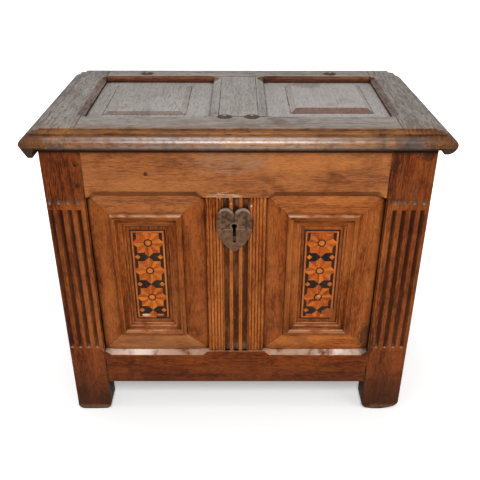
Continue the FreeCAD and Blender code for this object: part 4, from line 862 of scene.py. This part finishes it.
for node, slot in slots.items():
    body = body_of[node]
    if node == "escutcheon":
        worn_copy(node, body, heart_iron, HEART_WEAR, HEART_SHORTEST)
    elif slot == "wrought_iron":
        materials = frame["nodes"][node].data.materials
        materials.clear()
        materials.append(rivet_iron if node == "lid_rivets" else dark_iron)
    elif slot in inlays:
        worn_copy(node, body, inlays[slot], 0.0, 0.0)
    elif slot == "oak_lid":
        worn_copy(node, body, lid_oak, OAK_WEAR, OAK_SHORTEST, tone_depths[node], ledge_of=bleached_top)
    else:
        depth = tone_depths.get(node, USUAL_DEPTH)
        worn_copy(node, body, case_oak, OAK_WEAR, OAK_SHORTEST, depth, carvings.get(node))


# Stage, light and camera

def make_floor():
    """Pale floor that is white to the camera away from the object, with the object's shadow near it."""
    mesh = bpy.data.meshes.new("floor")
    bm = bmesh.new()
    bmesh.ops.create_grid(bm, x_segments=1, y_segments=1, size=12.0)
    bm.to_mesh(mesh)
    bm.free()
    floor = bpy.data.objects.new("floor", mesh)
    bpy.context.scene.collection.objects.link(floor)
    pale = Finish("pale_floor", 0.2)
    pale.shader.inputs["Base Color"].default_value = (0.9, 0.9, 0.9, 1.0)
    pale.shader.inputs["Roughness"].default_value = 0.9
    pale.shader.inputs["Emission Color"].default_value = (1.0, 1.0, 1.0, 1.0)
    seen = add_node(pale.tree, "ShaderNodeLightPath").outputs["Is Camera Ray"]
    lift = pale.spread(length_of(pale.tree, pale.place), 0.4, 1.2, 0.35, 1.0)
    pale.feed("Emission Strength", pale.times(seen, lift))
    mesh.materials.append(pale.material)


def make_world():
    """White surroundings, dimmer to the light that falls on the object than to the camera."""
    world = bpy.data.worlds.new("studio")
    world.use_nodes = True
    tree = world.node_tree
    path = add_node(tree, "ShaderNodeLightPath")
    glossy = math_node(tree, "MULTIPLY", path.outputs["Is Glossy Ray"], 0.4)
    seen = math_node(tree, "MAXIMUM", path.outputs["Is Camera Ray"], glossy)
    strength = math_node(tree, "MAXIMUM", seen, 0.35)
    background = tree.nodes["Background"]
    background.inputs["Color"].default_value = (1.0, 1.0, 1.0, 1.0)
    tree.links.new(strength, background.inputs["Strength"])
    bpy.context.scene.world = world


def add_softbox(name, place, target, size, power):
    """Square soft light at a place, turned to a target."""
    data = bpy.data.lights.new(name, "AREA")
    data.shape = "SQUARE"
    data.size = size
    data.energy = power
    lamp = bpy.data.objects.new(name, data)
    lamp.location = place
    lamp.rotation_euler = (Vector(target) - Vector(place)).to_track_quat("-Z", "Y").to_euler()
    bpy.context.scene.collection.objects.link(lamp)


def add_camera():
    """Camera of the photograph: height, tilt and lens found from the case's corners."""
    data = bpy.data.cameras.new("camera")
    data.lens = 48.63
    data.clip_end = 50.0
    camera = bpy.data.objects.new("camera", data)
    tilt = Matrix.Rotation(math.radians(90.0 - 29.65), 3, "X")
    turn = Matrix.Rotation(math.radians(-0.12), 3, "Z")
    roll = Matrix.Rotation(math.radians(0.11), 3, "Z")
    camera.location = (0.001, FRONT_Y - 1.0589, 1.0302)
    camera.rotation_euler = (turn @ tilt @ roll).to_euler()
    bpy.context.scene.collection.objects.link(camera)
    bpy.context.scene.camera = camera


make_floor()
make_world()
add_softbox("softbox_front", (0.0, -2.0, 2.2), (0, 0, 0.35), 0.6, 36.0)
add_softbox("softbox_right", (1.7, -1.3, 1.3), (0, 0, 0.3), 1.2, 7.0)
add_softbox("softbox_top", (-0.2, 0.2, 2.4), (0, 0, 0.5), 1.6, 22.0)
add_camera()
bpy.context.scene.view_settings.view_transform = "Standard"
